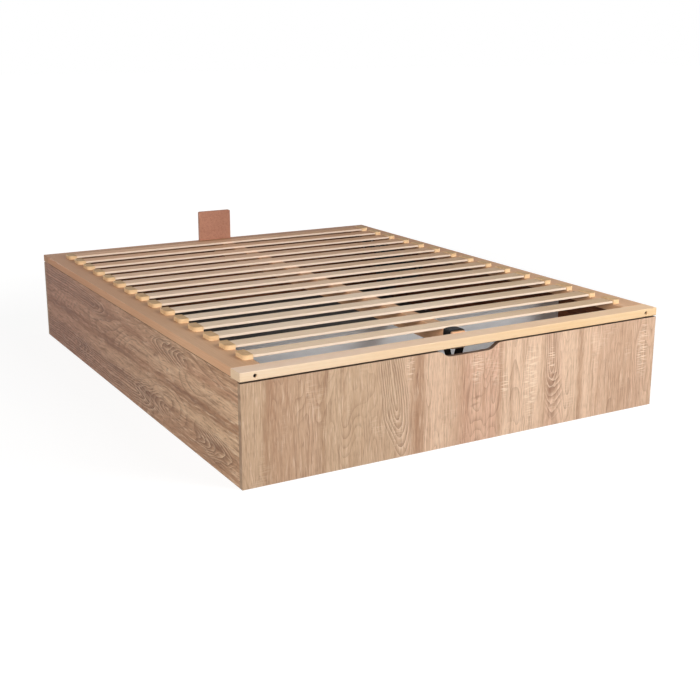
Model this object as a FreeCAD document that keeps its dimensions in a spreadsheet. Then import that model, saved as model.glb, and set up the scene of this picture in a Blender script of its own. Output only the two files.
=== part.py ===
import FreeCAD, Part
import math
import os
import re

import PartDesign
import Sketcher
from FreeCAD import Placement, Rotation, Vector

# Storage bed base: a chipboard box and a slatted frame that lifts at the foot on two gas-sprung hinges.
# Millimetres. X runs across the bed, Y from the foot to the head, Z up from the floor.
# The origin is on the floor under the middle of the bed.

sizes = dict(
    # Box
    bed_width=1500,
    bed_length=1900,
    panel_thickness=16,
    side_panel_height=307,
    end_panel_clearance=4,
    notch_mouth_width=210,
    notch_floor_width=162,
    notch_depth=20,
    notch_round=40,
    # Storage floor
    floor_height=50,
    floor_board_thickness=8,
    floor_seam=2,
    floor_edge_clearance=1,
    divider_reach=465,
    divider_clearance=14,
    divider_groove_depth=5,
    divider_groove_bite=4,
    divider_groove_play=0.5,
    batten_width=20,
    batten_depth=30,
    bearer_width=40,
    # Corner fittings
    cam_disc_radius=7.5,
    cam_disc_depth=12.5,
    cam_disc_reach=34,
    cam_dowel_radius=3.5,
    cam_dowel_bite=11,
    cam_low_height=90,
    cam_high_drop=67,
    fitting_clearance=0.1,
    # Lift frame
    rail_thickness=26,
    side_rail_width=90,
    end_rail_width=60,
    rail_arris=1.5,
    centre_rail_width=48,
    centre_rail_depth=52,
    # Slats and their holders
    slat_count=15,
    slat_width=53,
    slat_thickness=8,
    head_slat_gap=42.3,
    slat_arris=0.8,
    slat_insertion=24,
    slat_fit=0.2,
    holder_back=6,
    holder_wall=3.3,
    holder_floor=3,
    holder_roof=2.6,
    holder_round=11,
    holder_edge_round=1,
    # Frame bolts and barrel nuts
    bolt_radius=3,
    bolt_head_radius=5,
    bolt_head_height=6,
    bolt_socket_radius=2.6,
    bolt_socket_depth=4,
    bolt_sink_radius=6,
    bolt_sink_depth=12,
    bolt_clearance=0.3,
    bolt_tail=8,
    barrel_nut_reach=35,
    barrel_nut_radius=5,
    barrel_nut_length=16,
    # Mattress stop
    stop_width=145,
    stop_height=150,
    stop_thickness=14,
    stop_round=6,
    stop_screw_spacing=90,
    # Pull strap
    strap_width=38,
    strap_thickness=2.4,
    strap_gap=5.75,
    strap_slack=0.6,
    strap_crown=3,
    strap_drop=58,
    strap_grip_radius=9,
    # Lift hinge pivots: reach from the rear face of the head, drop below the lift frame's rails
    rear_arm_base_reach=204,
    rear_arm_base_drop=80,
    rear_arm_top_reach=74,
    rear_arm_top_drop=29,
    front_arm_base_reach=524,
    front_arm_base_drop=85,
    top_pivot_spacing=75,
    front_arm_top_drop=25,
    open_pivot_clearance=0.185,
    open_pivot_reach_shift=1.07,
    open_pivot_height_shift=1.34,
    # Lift hinge steel
    plate_thickness=3,
    plate_margin=22,
    plate_round=16,
    arm_thickness=4,
    arm_width=24,
    plate_gap=3,
    arm_gap=1,
    pivot_radius=4,
    pivot_clearance=0.1,
    side_play=0.1,
    rivet_head_radius=8,
    rivet_head_height=2,
    bracket_start=50,
    bracket_length=370,
    bracket_flange_width=33,
    bracket_lobe_length=125,
    bracket_lobe_depth=45,
    bracket_lip_depth=16,
    bracket_lobe_slope=30,
    bracket_round=8,
    # Gas springs
    strut_foot_clearance=38,
    strut_inset=26,
    strut_tube_radius=11,
    strut_bore_radius=9,
    strut_rod_radius=5,
    strut_piston_radius=8.6,
    strut_piston_length=10,
    strut_tube_start=15,
    strut_rod_showing=31,
    strut_cap_thickness=11,
    strut_guide_length=8,
    strut_rod_tip=30,
    strut_collar_length=10,
    strut_edge_round=1.5,
    eye_radius=10,
    eye_thickness=10,
    eye_neck_radius=4,
    stud_shoulder_radius=6,
    stud_head_radius=6.5,
    stud_head_height=4,
    # Screws, and the angles that carry the centre rail
    screw_head_radius=4.5,
    screw_head_height=3,
    screw_radius=2,
    screw_tip=3,
    screw_tip_radius=0.5,
    plate_screw_length=14,
    frame_screw_length=22,
    batten_screw_length=32,
    batten_screw_margin=120,
    angle_leg=36,
    angle_drop=20,
    angle_width=24,
    overrun=5,
)

# The strut's upper stud sits at this share of the front arm, counted from its base pivot.
strut_arm_share = 0.84
# Screws of a base plate, as shares of its three pivots: rear arm, front arm, strut.
plate_screw_shares = [(0.5, 0.5, 0), (0.5, 0, 0.5), (0, 0.5, 0.5), (0.34, 0.33, 0.33)]
# Screws of a lift bracket along its length.
bracket_screw_shares = [0.2, 0.45, 0.7, 0.94]
# Screws along a batten, between its end margins.
batten_screw_shares = [0, 0.5, 1]
# A round at the notch takes at most this share of the notch's slope.
notch_round_share = 0.49
# Two unit directions closer than this are one.
same_direction = 1e-6

doc = FreeCAD.newDocument("storage_bed_base")
sheet = doc.addObject("Spreadsheet::Sheet", "Sizes")
for row, (alias, value) in enumerate(sizes.items(), start=1):
    sheet.set("A%d" % row, alias)
    sheet.set("B%d" % row, str(value))
    sheet.setAlias("B%d" % row, alias)
doc.recompute()

nodes = {}


def qualified(text):
    def in_sheet(found):
        word = found.group(0)
        return "Sizes." + word if word in sizes else word

    return re.sub(r"[a-z][a-z_]+", in_sheet, text)


def number(text):
    return float(sheet.evalExpression(qualified(text)))


def bind(item, name, text):
    item.setExpression(name, qualified(text))


def locate(item, corner):
    for axis, text in zip("xyz", corner):
        bind(item, "Placement.Base." + axis, text)


def finish(label, item):
    item.Label = label
    nodes[label] = item


# Primitive solids

def block(name, lengths, corner):
    box = doc.addObject("Part::Box", name)
    for side, text in zip(("Length", "Width", "Height"), lengths):
        bind(box, side, text)
    locate(box, corner)
    return box


turn_to = {
    "+x": Rotation(Vector(0, 1, 0), 90),
    "-x": Rotation(Vector(0, 1, 0), -90),
    "+y": Rotation(Vector(1, 0, 0), -90),
    "-y": Rotation(Vector(1, 0, 0), 90),
    "+z": Rotation(),
}


def cylinder(name, radius, height, start, way):
    solid = doc.addObject("Part::Cylinder", name)
    solid.Placement = Placement(Vector(), turn_to[way])
    bind(solid, "Radius", radius)
    bind(solid, "Height", height)
    locate(solid, start)
    return solid


def cone(name, low_radius, high_radius, height, start, way):
    solid = doc.addObject("Part::Cone", name)
    solid.Placement = Placement(Vector(), turn_to[way])
    bind(solid, "Radius1", low_radius)
    bind(solid, "Radius2", high_radius)
    bind(solid, "Height", height)
    locate(solid, start)
    return solid


def cut(name, blank, tools):
    tool = doc.addObject("Part::Compound", name + "_tools")
    tool.Links = tools
    result = doc.addObject("Part::Cut", name)
    result.Base = blank
    result.Tool = tool
    return result


def fuse(name, solids):
    result = doc.addObject("Part::MultiFuse", name)
    result.Shapes = solids
    result.Refine = True
    return result


# Sketched bodies

def sketch_on(body, role, name, corners):
    plane = [item for item in body.Origin.OriginFeatures if item.Role == role][0]
    sketch = body.newObject("Sketcher::SketchObject", name)
    sketch.AttachmentSupport = [(plane, "")]
    sketch.MapMode = "FlatFace"
    points = [Vector(number(across), number(up), 0) for across, up in corners]
    for start, end in zip(points, points[1:] + points[:1]):
        sketch.addGeometry(Part.LineSegment(start, end), False)
    for line in range(len(points)):
        sketch.addConstraint(Sketcher.Constraint("Coincident", line, 2, (line + 1) % len(points), 1))
    for line, corner in enumerate(corners):
        for kind, axis_line, text in (("DistanceX", -2, corner[0]), ("DistanceY", -1, corner[1])):
            if number(text) == 0:
                sketch.addConstraint(Sketcher.Constraint("PointOnObject", line, 1, axis_line))
            else:
                index = sketch.addConstraint(Sketcher.Constraint(kind, -1, 1, line, 1, number(text)))
                bind(sketch, "Constraints[%d]" % index, text)
    return sketch


def pad(body, sketch, length, reverse=False):
    feature = body.newObject("PartDesign::Pad", sketch.Name + "_pad")
    feature.Profile = sketch
    feature.Reversed = reverse
    bind(feature, "Length", length)
    doc.recompute()
    return feature


def pocket(body, sketch, length, reverse=False):
    before = body.Shape.Volume
    feature = body.newObject("PartDesign::Pocket", sketch.Name + "_pocket")
    feature.Profile = sketch
    feature.Reversed = reverse
    bind(feature, "Length", length)
    doc.recompute()
    if not feature.Shape.Volume < before:
        raise ValueError(body.Name + ": the pocket cuts nothing")
    return feature


def edges_along(shape, way, keep=lambda middle: True):
    names = []
    for index, edge in enumerate(shape.Edges, start=1):
        if edge.Curve.TypeId != "Part::GeomLine":
            continue
        middle = edge.valueAt((edge.FirstParameter + edge.LastParameter) / 2)
        turn = edge.tangentAt(edge.FirstParameter).cross(way)
        if turn.Length < same_direction and keep(middle):
            names.append("Edge%d" % index)
    return names


def ease(body, base, kind, size_name, size_text, edges):
    feature = body.newObject("PartDesign::" + kind, base.Name + "_" + kind.lower())
    feature.Base = (base, edges)
    bind(feature, size_name, size_text)
    doc.recompute()
    return feature


def rectangle(width, depth):
    return [("0", "0"), (width, "0"), (width, depth), ("0", depth)]


def plank(name, lengths, corner, grain, arris):
    body = doc.addObject("PartDesign::Body", name)
    plan = sketch_on(body, "XY_Plane", name + "_plan", rectangle(lengths[0], lengths[1]))
    base = pad(body, plan, lengths[2])
    ease(body, base, "Chamfer", "Size", arris, edges_along(base.Shape, grain))
    locate(body, corner)
    return body


def turned(name, steps):
    # A turned piece about its own Z axis; steps are (radius, height) pairs from one end to the other.
    body = doc.addObject("PartDesign::Body", name)
    outline = [("0", steps[0][1])] + steps + [("0", steps[-1][1])]
    sketch = sketch_on(body, "XZ_Plane", name + "_half", outline)
    feature = body.newObject("PartDesign::Revolution", name + "_turn")
    feature.Profile = sketch
    feature.ReferenceAxis = (sketch, ["V_Axis"])
    feature.Angle = 360
    doc.recompute()
    return body


def group(label, pattern, places):
    # Identical pieces share one node: copies of one pattern piece, each at its own place.
    doc.recompute()
    item = doc.addObject("Part::Feature", label + "_group")
    copies = []
    for place in places:
        copy = pattern.Shape.copy()
        copy.Placement = place
        copies.append(copy)
    item.Shape = Part.makeCompound(copies)
    finish(label, item)
    return item


head_face = "bed_length/2"
foot_face = "(-bed_length/2)"
outer_face = "bed_width/2"
wall_face = "(bed_width/2 - panel_thickness)"
rail_bottom = "side_panel_height"
rail_top = "(side_panel_height + rail_thickness)"
rail_edge = "(bed_width/2 - side_rail_width)"
along_x = Vector(1, 0, 0)
along_y = Vector(0, 1, 0)
along_z = Vector(0, 0, 1)
both_sides = (("left", -1), ("right", 1))
both_ends = (("foot", -1), ("head", 1))


def mirrored(sign, low, high):
    # The low end of an interval that is written for the right side.
    return low if sign > 0 else "-(%s)" % high


# Box panels. The end panels run over the ends of the side panels.

side_length = "(bed_length - 2*panel_thickness)"
end_height = "(side_panel_height - end_panel_clearance)"
dowel_line = "(bed_width/2 - panel_thickness/2)"
cam_heights = ("cam_low_height", "(side_panel_height - cam_high_drop)")
divider_front = "(divider_reach - bed_length/2)"
divider_rear = "(divider_reach + panel_thickness - bed_length/2)"
divider_middle = "(divider_reach + panel_thickness/2 - bed_length/2)"
# The tall cross bearer stays clear of the centre rail above it.
divider_height = "(%s + holder_floor - centre_rail_depth - divider_clearance)" % rail_top
divider_cam_heights = ("cam_low_height", "(%s - cam_high_drop)" % divider_height)


def dowel_holes(name, end):
    # Pilot holes for the cam dowels in the inner face of an end panel.
    way = "+y" if end < 0 else "-y"
    start = "%d*(bed_length/2 - panel_thickness + cam_dowel_bite)" % end
    holes = []
    for side, sign in both_sides:
        for height in cam_heights:
            place = ("%d*%s" % (sign, dowel_line), start, height)
            holes.append(cylinder(name + "_pilot", "cam_dowel_radius + fitting_clearance",
                                  "cam_dowel_bite + overrun", place, way))
    return holes


def foot_panel():
    body = doc.addObject("PartDesign::Body", "foot_board")
    middle = "bed_width/2"
    corners = rectangle("bed_width", end_height)
    notch = [(middle + " + notch_mouth_width/2", end_height),
             (middle + " + notch_floor_width/2", end_height + " - notch_depth"),
             (middle + " - notch_floor_width/2", end_height + " - notch_depth"),
             (middle + " - notch_mouth_width/2", end_height)]
    sketch = sketch_on(body, "XZ_Plane", "foot_face", corners[:3] + notch + corners[3:])
    base = pad(body, sketch, "panel_thickness", reverse=True)
    at_notch = edges_along(base.Shape, along_y, lambda at: 0 < at.x < number("bed_width"))
    # The two rounds of a slope share its length, so a steep slope takes smaller ones.
    run = "((notch_mouth_width - notch_floor_width)/2)"
    slope = "sqrt(%s^2 + notch_depth^2)" % run
    widest = "%r*%s*notch_depth/(%s - %s)" % (notch_round_share, slope, slope, run)
    ease(body, base, "Fillet", "Radius", "min(notch_round; %s)" % widest, at_notch)
    locate(body, ("-" + outer_face, foot_face, "0"))
    finish("foot_panel", cut("foot_drilled", body, dowel_holes("foot", -1)))


def head_panel():
    board = block("head_board", ("bed_width", "panel_thickness", end_height),
                  ("-" + outer_face, head_face + " - panel_thickness", "0"))
    finish("head_panel", cut("head_drilled", board, dowel_holes("head", 1)))


def side_panel(side, sign):
    board = block(side + "_board", ("panel_thickness", side_length, "side_panel_height"),
                  (mirrored(sign, wall_face, outer_face), "-%s/2" % side_length, "0"))
    holes = []
    for end_name, end in both_ends:
        for height in cam_heights:
            along = "%d*(%s/2 - cam_disc_reach)" % (end, side_length)
            disc_start = ("%d*(%s - overrun)" % (sign, wall_face), along, height)
            holes.append(cylinder(side + "_disc_hole", "cam_disc_radius + fitting_clearance",
                                  "overrun + cam_disc_depth + fitting_clearance", disc_start,
                                  "+x" if sign > 0 else "-x"))
            dowel_start = ("%d*%s" % (sign, dowel_line), along, height)
            holes.append(cylinder(side + "_dowel_hole", "cam_dowel_radius + fitting_clearance",
                                  "cam_disc_reach + overrun", dowel_start, "+y" if end > 0 else "-y"))
    # Pilot holes for the dowels of the tall cross bearer.
    for height in divider_cam_heights:
        pilot_start = ("%d*(%s + cam_dowel_bite)" % (sign, wall_face), divider_middle, height)
        holes.append(cylinder(side + "_pilot", "cam_dowel_radius + fitting_clearance",
                              "cam_dowel_bite + overrun", pilot_start, "-x" if sign > 0 else "+x"))
    drilled = cut(side + "_drilled", board, [fuse(side + "_fitting_holes", holes)])
    finish(side + "_side_panel", drilled)


def corner_fittings():
    disc = cylinder("cam_disc_blank", "cam_disc_radius", "cam_disc_depth", ("0", "0", "0"), "+z")
    slot = block("cam_disc_mouth", ("cam_disc_radius + overrun", "2*(cam_dowel_radius + fitting_clearance)",
                                    "cam_disc_depth"),
                 ("-fitting_clearance", "-cam_dowel_radius - fitting_clearance",
                  "panel_thickness/2 - cam_dowel_radius - fitting_clearance"))
    cam_disc = cut("cam_disc", disc, [slot])
    cam_dowel = turned("cam_dowel", [("cam_dowel_radius", "0"),
                                     ("cam_dowel_radius", "cam_disc_reach + cam_dowel_bite")])
    disc_places, dowel_places = [], []
    for side, sign in both_sides:
        for end_name, end in both_ends:
            for height in cam_heights:
                along = end * number(side_length + "/2 - cam_disc_reach")
                at = Vector(sign * number(wall_face), along, number(height))
                # The disc's mouth looks towards the end panel.
                turn = turn_to["+x" if sign > 0 else "-x"].multiply(Rotation(along_z, 90 * end))
                disc_places.append(Placement(at, turn))
                dowel_at = Vector(sign * number(dowel_line), at.y, at.z)
                dowel_places.append(Placement(dowel_at, turn_to["+y" if end > 0 else "-y"]))
        for height in divider_cam_heights:
            at = Vector(sign * number(wall_face + " - cam_disc_reach"), number(divider_rear), number(height))
            # The disc's mouth looks towards the side panel.
            turn = turn_to["-y"].multiply(Rotation(along_z, 0 if sign > 0 else 180))
            disc_places.append(Placement(at, turn))
            dowel_at = Vector(at.x, number(divider_middle), at.z)
            dowel_places.append(Placement(dowel_at, turn_to["+x" if sign > 0 else "-x"]))
    group("cam_discs", cam_disc, disc_places)
    group("cam_dowels", cam_dowel, dowel_places)


# Storage floor: boards on battens along the walls, in the grooves of a tall cross bearer that parts the
# storage in two, and on a low cross bearer under the rear seam.

inner_width = "(bed_width - 2*panel_thickness)"
board_underside = "(floor_height - floor_board_thickness)"
floor_length = "(%s - 2*floor_edge_clearance)" % side_length
rear_floor_start = "(%s - divider_groove_bite)" % divider_rear
rear_board_length = "((%s/2 - %s - floor_seam)/2)" % (floor_length, rear_floor_start)


def floor_board(name, start, length):
    width = inner_width + " - 2*floor_edge_clearance"
    board = block(name + "_board", (width, length, "floor_board_thickness"),
                  ("-%s/2 + floor_edge_clearance" % inner_width, start, board_underside))
    finish("floor_board_" + name, board)


def storage_floor():
    front_start = "-%s/2" % floor_length
    floor_board("front", front_start, "%s + divider_groove_bite + %s/2" % (divider_front, floor_length))
    floor_board("middle", rear_floor_start, rear_board_length)
    floor_board("rear", "%s + %s + floor_seam" % (rear_floor_start, rear_board_length), rear_board_length)


def front_cross_bearer():
    # A board on edge, notched over the side battens, with a groove along each face for the floor boards.
    body = doc.addObject("PartDesign::Body", "divider_board")
    notch = "(batten_width + floor_edge_clearance)"
    far_notch = "%s - %s" % (inner_width, notch)
    outline = [(notch, "0"), (far_notch, "0"), (far_notch, board_underside), (inner_width, board_underside),
               (inner_width, divider_height), ("0", divider_height), ("0", board_underside),
               (notch, board_underside)]
    sketch = sketch_on(body, "XZ_Plane", "divider_face", outline)
    pad(body, sketch, "panel_thickness", reverse=True)
    locate(body, ("-%s/2" % inner_width, divider_front, "0"))
    groove = (inner_width, "divider_groove_depth + overrun", "floor_board_thickness + divider_groove_play")
    groove_starts = [divider_front + " - overrun", divider_rear + " - divider_groove_depth"]
    cuts = [block("divider_groove", groove, ("-%s/2" % inner_width, start, board_underside))
            for start in groove_starts]
    for side, sign in both_sides:
        for height in divider_cam_heights:
            across = "%d*(%s - cam_disc_reach)" % (sign, wall_face)
            cuts.append(cylinder(side + "_divider_disc_hole", "cam_disc_radius + fitting_clearance",
                                 "overrun + cam_disc_depth + fitting_clearance",
                                 (across, divider_rear + " + overrun", height), "-y"))
            cuts.append(cylinder(side + "_divider_dowel_hole", "cam_dowel_radius + fitting_clearance",
                                 "cam_disc_reach + overrun", (across, divider_middle, height),
                                 "+x" if sign > 0 else "-x"))
    finish("front_cross_bearer", cut("divider_drilled", body, [fuse("divider_cuts", cuts)]))


def rear_cross_bearer():
    seam = "%s + %s + floor_seam/2" % (rear_floor_start, rear_board_length)
    length = inner_width + " - 2*batten_width - 2*floor_edge_clearance"
    start = "-%s/2 + batten_width + floor_edge_clearance" % inner_width
    bearer = plank("rear_bearer", (length, "bearer_width", board_underside),
                   (start, seam + " - bearer_width/2", "0"), along_x, "rail_arris")
    finish("rear_cross_bearer", bearer)


def battens():
    bottom = board_underside + " - batten_depth"
    for side, sign in both_sides:
        across = mirrored(sign, wall_face + " - batten_width", wall_face)
        strip = block(side + "_strip", ("batten_width", side_length, "batten_depth"),
                      (across, "-%s/2" % side_length, bottom))
        finish(side + "_floor_batten", strip)
    cross_length = inner_width + " - 2*batten_width"
    for end_name, end in both_ends:
        near = "%s/2 - batten_width" % side_length
        strip = block(end_name + "_strip", (cross_length, "batten_width", "batten_depth"),
                      ("-(%s)/2" % cross_length, mirrored(end, near, side_length + "/2"), bottom))
        finish(end_name + "_floor_batten", strip)


# Screws

def screw(name, length):
    return turned(name, [("screw_head_radius", "0"), ("screw_radius", "screw_head_height"),
                         ("screw_radius", length + " - screw_tip"), ("screw_tip_radius", length)])


def batten_screws():
    places = []
    height = number(board_underside + " - batten_depth/2")
    inset = number(wall_face + " - batten_width")
    end_inset = number(side_length + "/2 - batten_width")
    long_reach = number(side_length + "/2 - batten_screw_margin")
    cross_reach = number(wall_face + " - batten_screw_margin")
    for share in batten_screw_shares:
        for side, sign in both_sides:
            places.append(Placement(Vector(sign * inset, (2 * share - 1) * long_reach, height),
                                    turn_to["+x" if sign > 0 else "-x"]))
        for end_name, end in both_ends:
            places.append(Placement(Vector((2 * share - 1) * cross_reach, end * end_inset, height),
                                    turn_to["+y" if end > 0 else "-y"]))
    group("batten_screws", screw("batten_screw", "batten_screw_length"), places)


# Lift frame. The end rails run over the ends of the side rails and are bolted to them.

long_rail_length = "(bed_length - 2*end_rail_width)"
bolt_line = "(bed_width/2 - side_rail_width/2)"
bolt_height = "(side_panel_height + rail_thickness/2)"


def end_rail(end_name, end):
    rail = plank(end_name + "_rail_blank", ("bed_width", "end_rail_width", "rail_thickness"),
                 ("-" + outer_face, mirrored(end, head_face + " - end_rail_width", head_face), rail_bottom),
                 along_x, "rail_arris")
    tools = []
    way = "-y" if end > 0 else "+y"
    for side, sign in both_sides:
        across = "%d*%s" % (sign, bolt_line)
        sink_start = (across, "%d*(%s + overrun)" % (end, head_face), bolt_height)
        tools.append(cylinder(end_name + "_bolt_sink", "bolt_sink_radius", "bolt_sink_depth + overrun",
                              sink_start, way))
        hole_start = (across, "%d*(%s - bolt_sink_depth + overrun)" % (end, head_face), bolt_height)
        tools.append(cylinder(end_name + "_bolt_hole", "bolt_radius + bolt_clearance",
                              "end_rail_width + overrun", hole_start, way))
    tools = [fuse(end_name + "_bolt_ways", tools)]
    if end > 0:
        # The mattress stop is let into the rear face of the head rail.
        tools.append(block("stop_rebate", ("stop_width + 2*fitting_clearance", "stop_thickness + overrun",
                                           "rail_thickness + 2*overrun"),
                           ("-stop_width/2 - fitting_clearance", head_face + " - stop_thickness",
                            rail_bottom + " - overrun")))
    finish(end_name + "_rail", cut(end_name + "_rail_cut", rail, tools))


def side_rail(side, sign):
    rail = plank(side + "_rail_blank", ("side_rail_width", long_rail_length, "rail_thickness"),
                 (mirrored(sign, rail_edge, outer_face), "-%s/2" % long_rail_length, rail_bottom),
                 along_y, "rail_arris")
    tools = []
    for end_name, end in both_ends:
        across = "%d*%s" % (sign, bolt_line)
        tools.append(cylinder(side + "_bolt_hole", "bolt_radius + bolt_clearance",
                              "barrel_nut_reach + bolt_tail + bolt_clearance + overrun",
                              (across, "%d*(%s/2 + overrun)" % (end, long_rail_length), bolt_height),
                              "-y" if end > 0 else "+y"))
        tools.append(cylinder(side + "_nut_hole", "barrel_nut_radius + fitting_clearance",
                              "rail_thickness/2 + barrel_nut_length/2 + overrun",
                              (across, "%d*(%s/2 - barrel_nut_reach)" % (end, long_rail_length),
                               rail_bottom + " - overrun"), "+z"))
    finish(side + "_side_rail", cut(side + "_rail_cut", rail, [fuse(side + "_rail_ways", tools)]))


def centre_rail():
    rail = plank("centre_rail_blank", ("centre_rail_width", long_rail_length, "centre_rail_depth"),
                 ("-centre_rail_width/2", "-%s/2" % long_rail_length,
                  rail_top + " + holder_floor - centre_rail_depth"), along_y, "rail_arris")
    finish("centre_rail", rail)


def frame_bolts():
    grip = "(end_rail_width - bolt_sink_depth + barrel_nut_reach + bolt_tail)"
    shank = turned("bolt_blank", [("bolt_head_radius", "-bolt_head_height"), ("bolt_head_radius", "0"),
                                  ("bolt_radius", "0"), ("bolt_radius", grip)])
    socket = cylinder("bolt_socket", "bolt_socket_radius", "bolt_socket_depth + overrun",
                      ("0", "0", "-bolt_head_height - overrun"), "+z")
    bolt = cut("bolt", shank, [socket])
    nut_blank = cylinder("nut_blank", "barrel_nut_radius", "barrel_nut_length",
                         ("0", "0", "-barrel_nut_length/2"), "+z")
    nut_hole = cylinder("nut_cross_hole", "bolt_radius + fitting_clearance",
                        "2*barrel_nut_radius + 2*overrun", ("0", "-barrel_nut_radius - overrun", "0"), "+y")
    nut = cut("nut", nut_blank, [nut_hole])
    bolt_places, nut_places = [], []
    for side, sign in both_sides:
        for end_name, end in both_ends:
            across = sign * number(bolt_line)
            seat = Vector(across, end * number(head_face + " - bolt_sink_depth"), number(bolt_height))
            bolt_places.append(Placement(seat, turn_to["-y" if end > 0 else "+y"]))
            nut_along = end * number(long_rail_length + "/2 - barrel_nut_reach")
            nut_at = Vector(across, nut_along, number(bolt_height))
            nut_places.append(Placement(nut_at, Rotation()))
    group("frame_bolts", bolt, bolt_places)
    group("barrel_nuts", nut, nut_places)


# Slats in their plastic holders on the side rails. The strap lies between the foot rail and the first slat;
# the slats share the rest of the length evenly.

strap_start = "(-bed_length/2 + end_rail_width + strap_gap)"
first_slat = "(-bed_length/2 + end_rail_width + 2*strap_gap + strap_width + slat_width/2)"
last_slat = "(bed_length/2 - end_rail_width - head_slat_gap - slat_width/2)"
slat_pitch = "((%s - %s)/(slat_count - 1))" % (last_slat, first_slat)
holder_length = "(slat_insertion + holder_back)"


def slat_centre(index):
    return "(%s + %d*%s)" % (first_slat, index, slat_pitch)


def slats():
    half = "(%s + slat_insertion)" % rail_edge
    for index in range(int(number("slat_count"))):
        slat = plank("slat_blank_%d" % index, ("2*" + half, "slat_width", "slat_thickness"),
                     ("-" + half, slat_centre(index) + " - slat_width/2", rail_top + " + holder_floor"),
                     along_x, "slat_arris")
        finish("slat_%02d" % (index + 1), slat)


def slat_holders():
    # One holder: its mouth at X 0, its rounded back towards +X.
    body = doc.addObject("PartDesign::Body", "holder")
    pocket_width = "(slat_width + 2*slat_fit)"
    width = "(%s + 2*holder_wall)" % pocket_width
    height = "(holder_floor + slat_thickness + slat_fit + holder_roof)"
    plan = [("0", "-%s/2" % width), (holder_length, "-%s/2" % width), (holder_length, "%s/2" % width),
            ("0", "%s/2" % width)]
    base = pad(body, sketch_on(body, "XY_Plane", "holder_plan", plan), height)
    mouth = [("-" + pocket_width + "/2", "holder_floor"), (pocket_width + "/2", "holder_floor"),
             (pocket_width + "/2", "holder_floor + slat_thickness + slat_fit"),
             ("-" + pocket_width + "/2", "holder_floor + slat_thickness + slat_fit")]
    mouth_sketch = sketch_on(body, "YZ_Plane", "holder_mouth", mouth)
    hollow = pocket(body, mouth_sketch, "slat_insertion + slat_fit", reverse=True)
    back = edges_along(hollow.Shape, along_z, lambda at: at.x > number("slat_insertion + holder_back/2"))
    back = [name for name in back if abs(edge_middle(hollow.Shape, name).y) > number(pocket_width + "/2")]
    rounded = ease(body, hollow, "Fillet", "Radius", "holder_round", back)
    top = [name for name in all_edges(rounded.Shape)
           if edge_middle(rounded.Shape, name).z > number(height + " - holder_roof/2")
           and edge_middle(rounded.Shape, name).x > number("holder_edge_round/2")]
    ease(body, rounded, "Chamfer", "Size", "holder_edge_round", top)
    places = []
    for index in range(int(number("slat_count"))):
        along = number(slat_centre(index))
        places.append(Placement(Vector(number(rail_edge), along, number(rail_top)), Rotation()))
        places.append(Placement(Vector(-number(rail_edge), along, number(rail_top)), Rotation(along_z, 180)))
    group("slat_holders", body, places)


def all_edges(shape):
    return ["Edge%d" % index for index in range(1, len(shape.Edges) + 1)]


def edge_middle(shape, name):
    edge = shape.Edges[int(name[len("Edge"):]) - 1]
    return edge.valueAt((edge.FirstParameter + edge.LastParameter) / 2)


# Mattress stop: an upright board let into the rear of the head rail.

def mattress_stop():
    body = doc.addObject("PartDesign::Body", "stop_board")
    base = pad(body, sketch_on(body, "XZ_Plane", "stop_face", rectangle("stop_width", "stop_height")),
               "stop_thickness", reverse=True)
    corners = edges_along(base.Shape, along_y, lambda at: at.z > number("stop_height/2"))
    ease(body, base, "Fillet", "Radius", "stop_round", corners)
    locate(body, ("-stop_width/2", head_face + " - stop_thickness", rail_bottom))
    finish("mattress_stop", body)


# Pull strap: a webbing loop round the centre rail, hanging below it behind the hand notch.

def pull_strap():
    half = number("centre_rail_width/2 + strap_slack")
    top = number(rail_top + " + holder_floor + strap_slack")
    bottom = number(rail_top + " + holder_floor - centre_rail_depth")
    grip_low = bottom - number("strap_drop")

    def loop(grow):
        # The loop's outline, grown outwards from its inner face.
        side = half + grow
        crown = top + number("strap_crown") + grow
        shoulder = top + grow
        grip = number("strap_grip_radius") + grow
        centre = grip_low + number("strap_grip_radius")
        # The legs leave the rail's corners and touch the round of the grip.
        reach = math.hypot(side, bottom - centre)
        lean = math.atan2(bottom - centre, side) - math.acos(grip / reach)
        touch = Vector(grip * math.cos(lean), 0, centre + grip * math.sin(lean))
        right = [Vector(side, 0, shoulder), Vector(side, 0, bottom), touch]
        left = [Vector(-at.x, 0, at.z) for at in right]
        arch = Part.Arc(left[0], Vector(0, 0, crown), right[0])
        round_end = Part.Arc(right[2], Vector(0, 0, centre - grip), left[2])
        legs = [Part.LineSegment(right[0], right[1]), Part.LineSegment(right[1], right[2])]
        back = [Part.LineSegment(left[2], left[1]), Part.LineSegment(left[1], left[0])]
        return Part.Wire([piece.toShape() for piece in [arch] + legs + [round_end] + back])

    face = Part.makeFace([loop(number("strap_thickness")), loop(0)], "Part::FaceMakerBullseye")
    item = doc.addObject("Part::Feature", "strap_loop")
    item.Shape = face.extrude(Vector(0, number("strap_width"), 0))
    item.Placement = Placement(Vector(0, number(strap_start), 0), Rotation())
    finish("pull_strap", item)


# Lift hinges. A pivot is placed by its reach from the head and its drop below the rails.

pivot_places = {
    "rear_arm_base": ("rear_arm_base_reach", "rear_arm_base_drop"),
    "rear_arm_top": ("rear_arm_top_reach", "rear_arm_top_drop"),
    "front_arm_base": ("front_arm_base_reach", "front_arm_base_drop"),
    "front_arm_top": ("(rear_arm_top_reach + top_pivot_spacing)", "front_arm_top_drop"),
}


def pivot(name):
    reach, drop = pivot_places[name]
    return (head_face + " - " + reach, rail_bottom + " - " + drop)


def pivot_at(name):
    return Vector(0, number(pivot(name)[0]), number(pivot(name)[1]))


arm_outer = "(bed_width/2 - panel_thickness - plate_thickness - plate_gap)"
bracket_outer = "(bed_width/2 - panel_thickness - plate_thickness - plate_gap - arm_thickness - arm_gap)"
strut_line = "(bed_width/2 - panel_thickness - strut_inset)"


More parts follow.
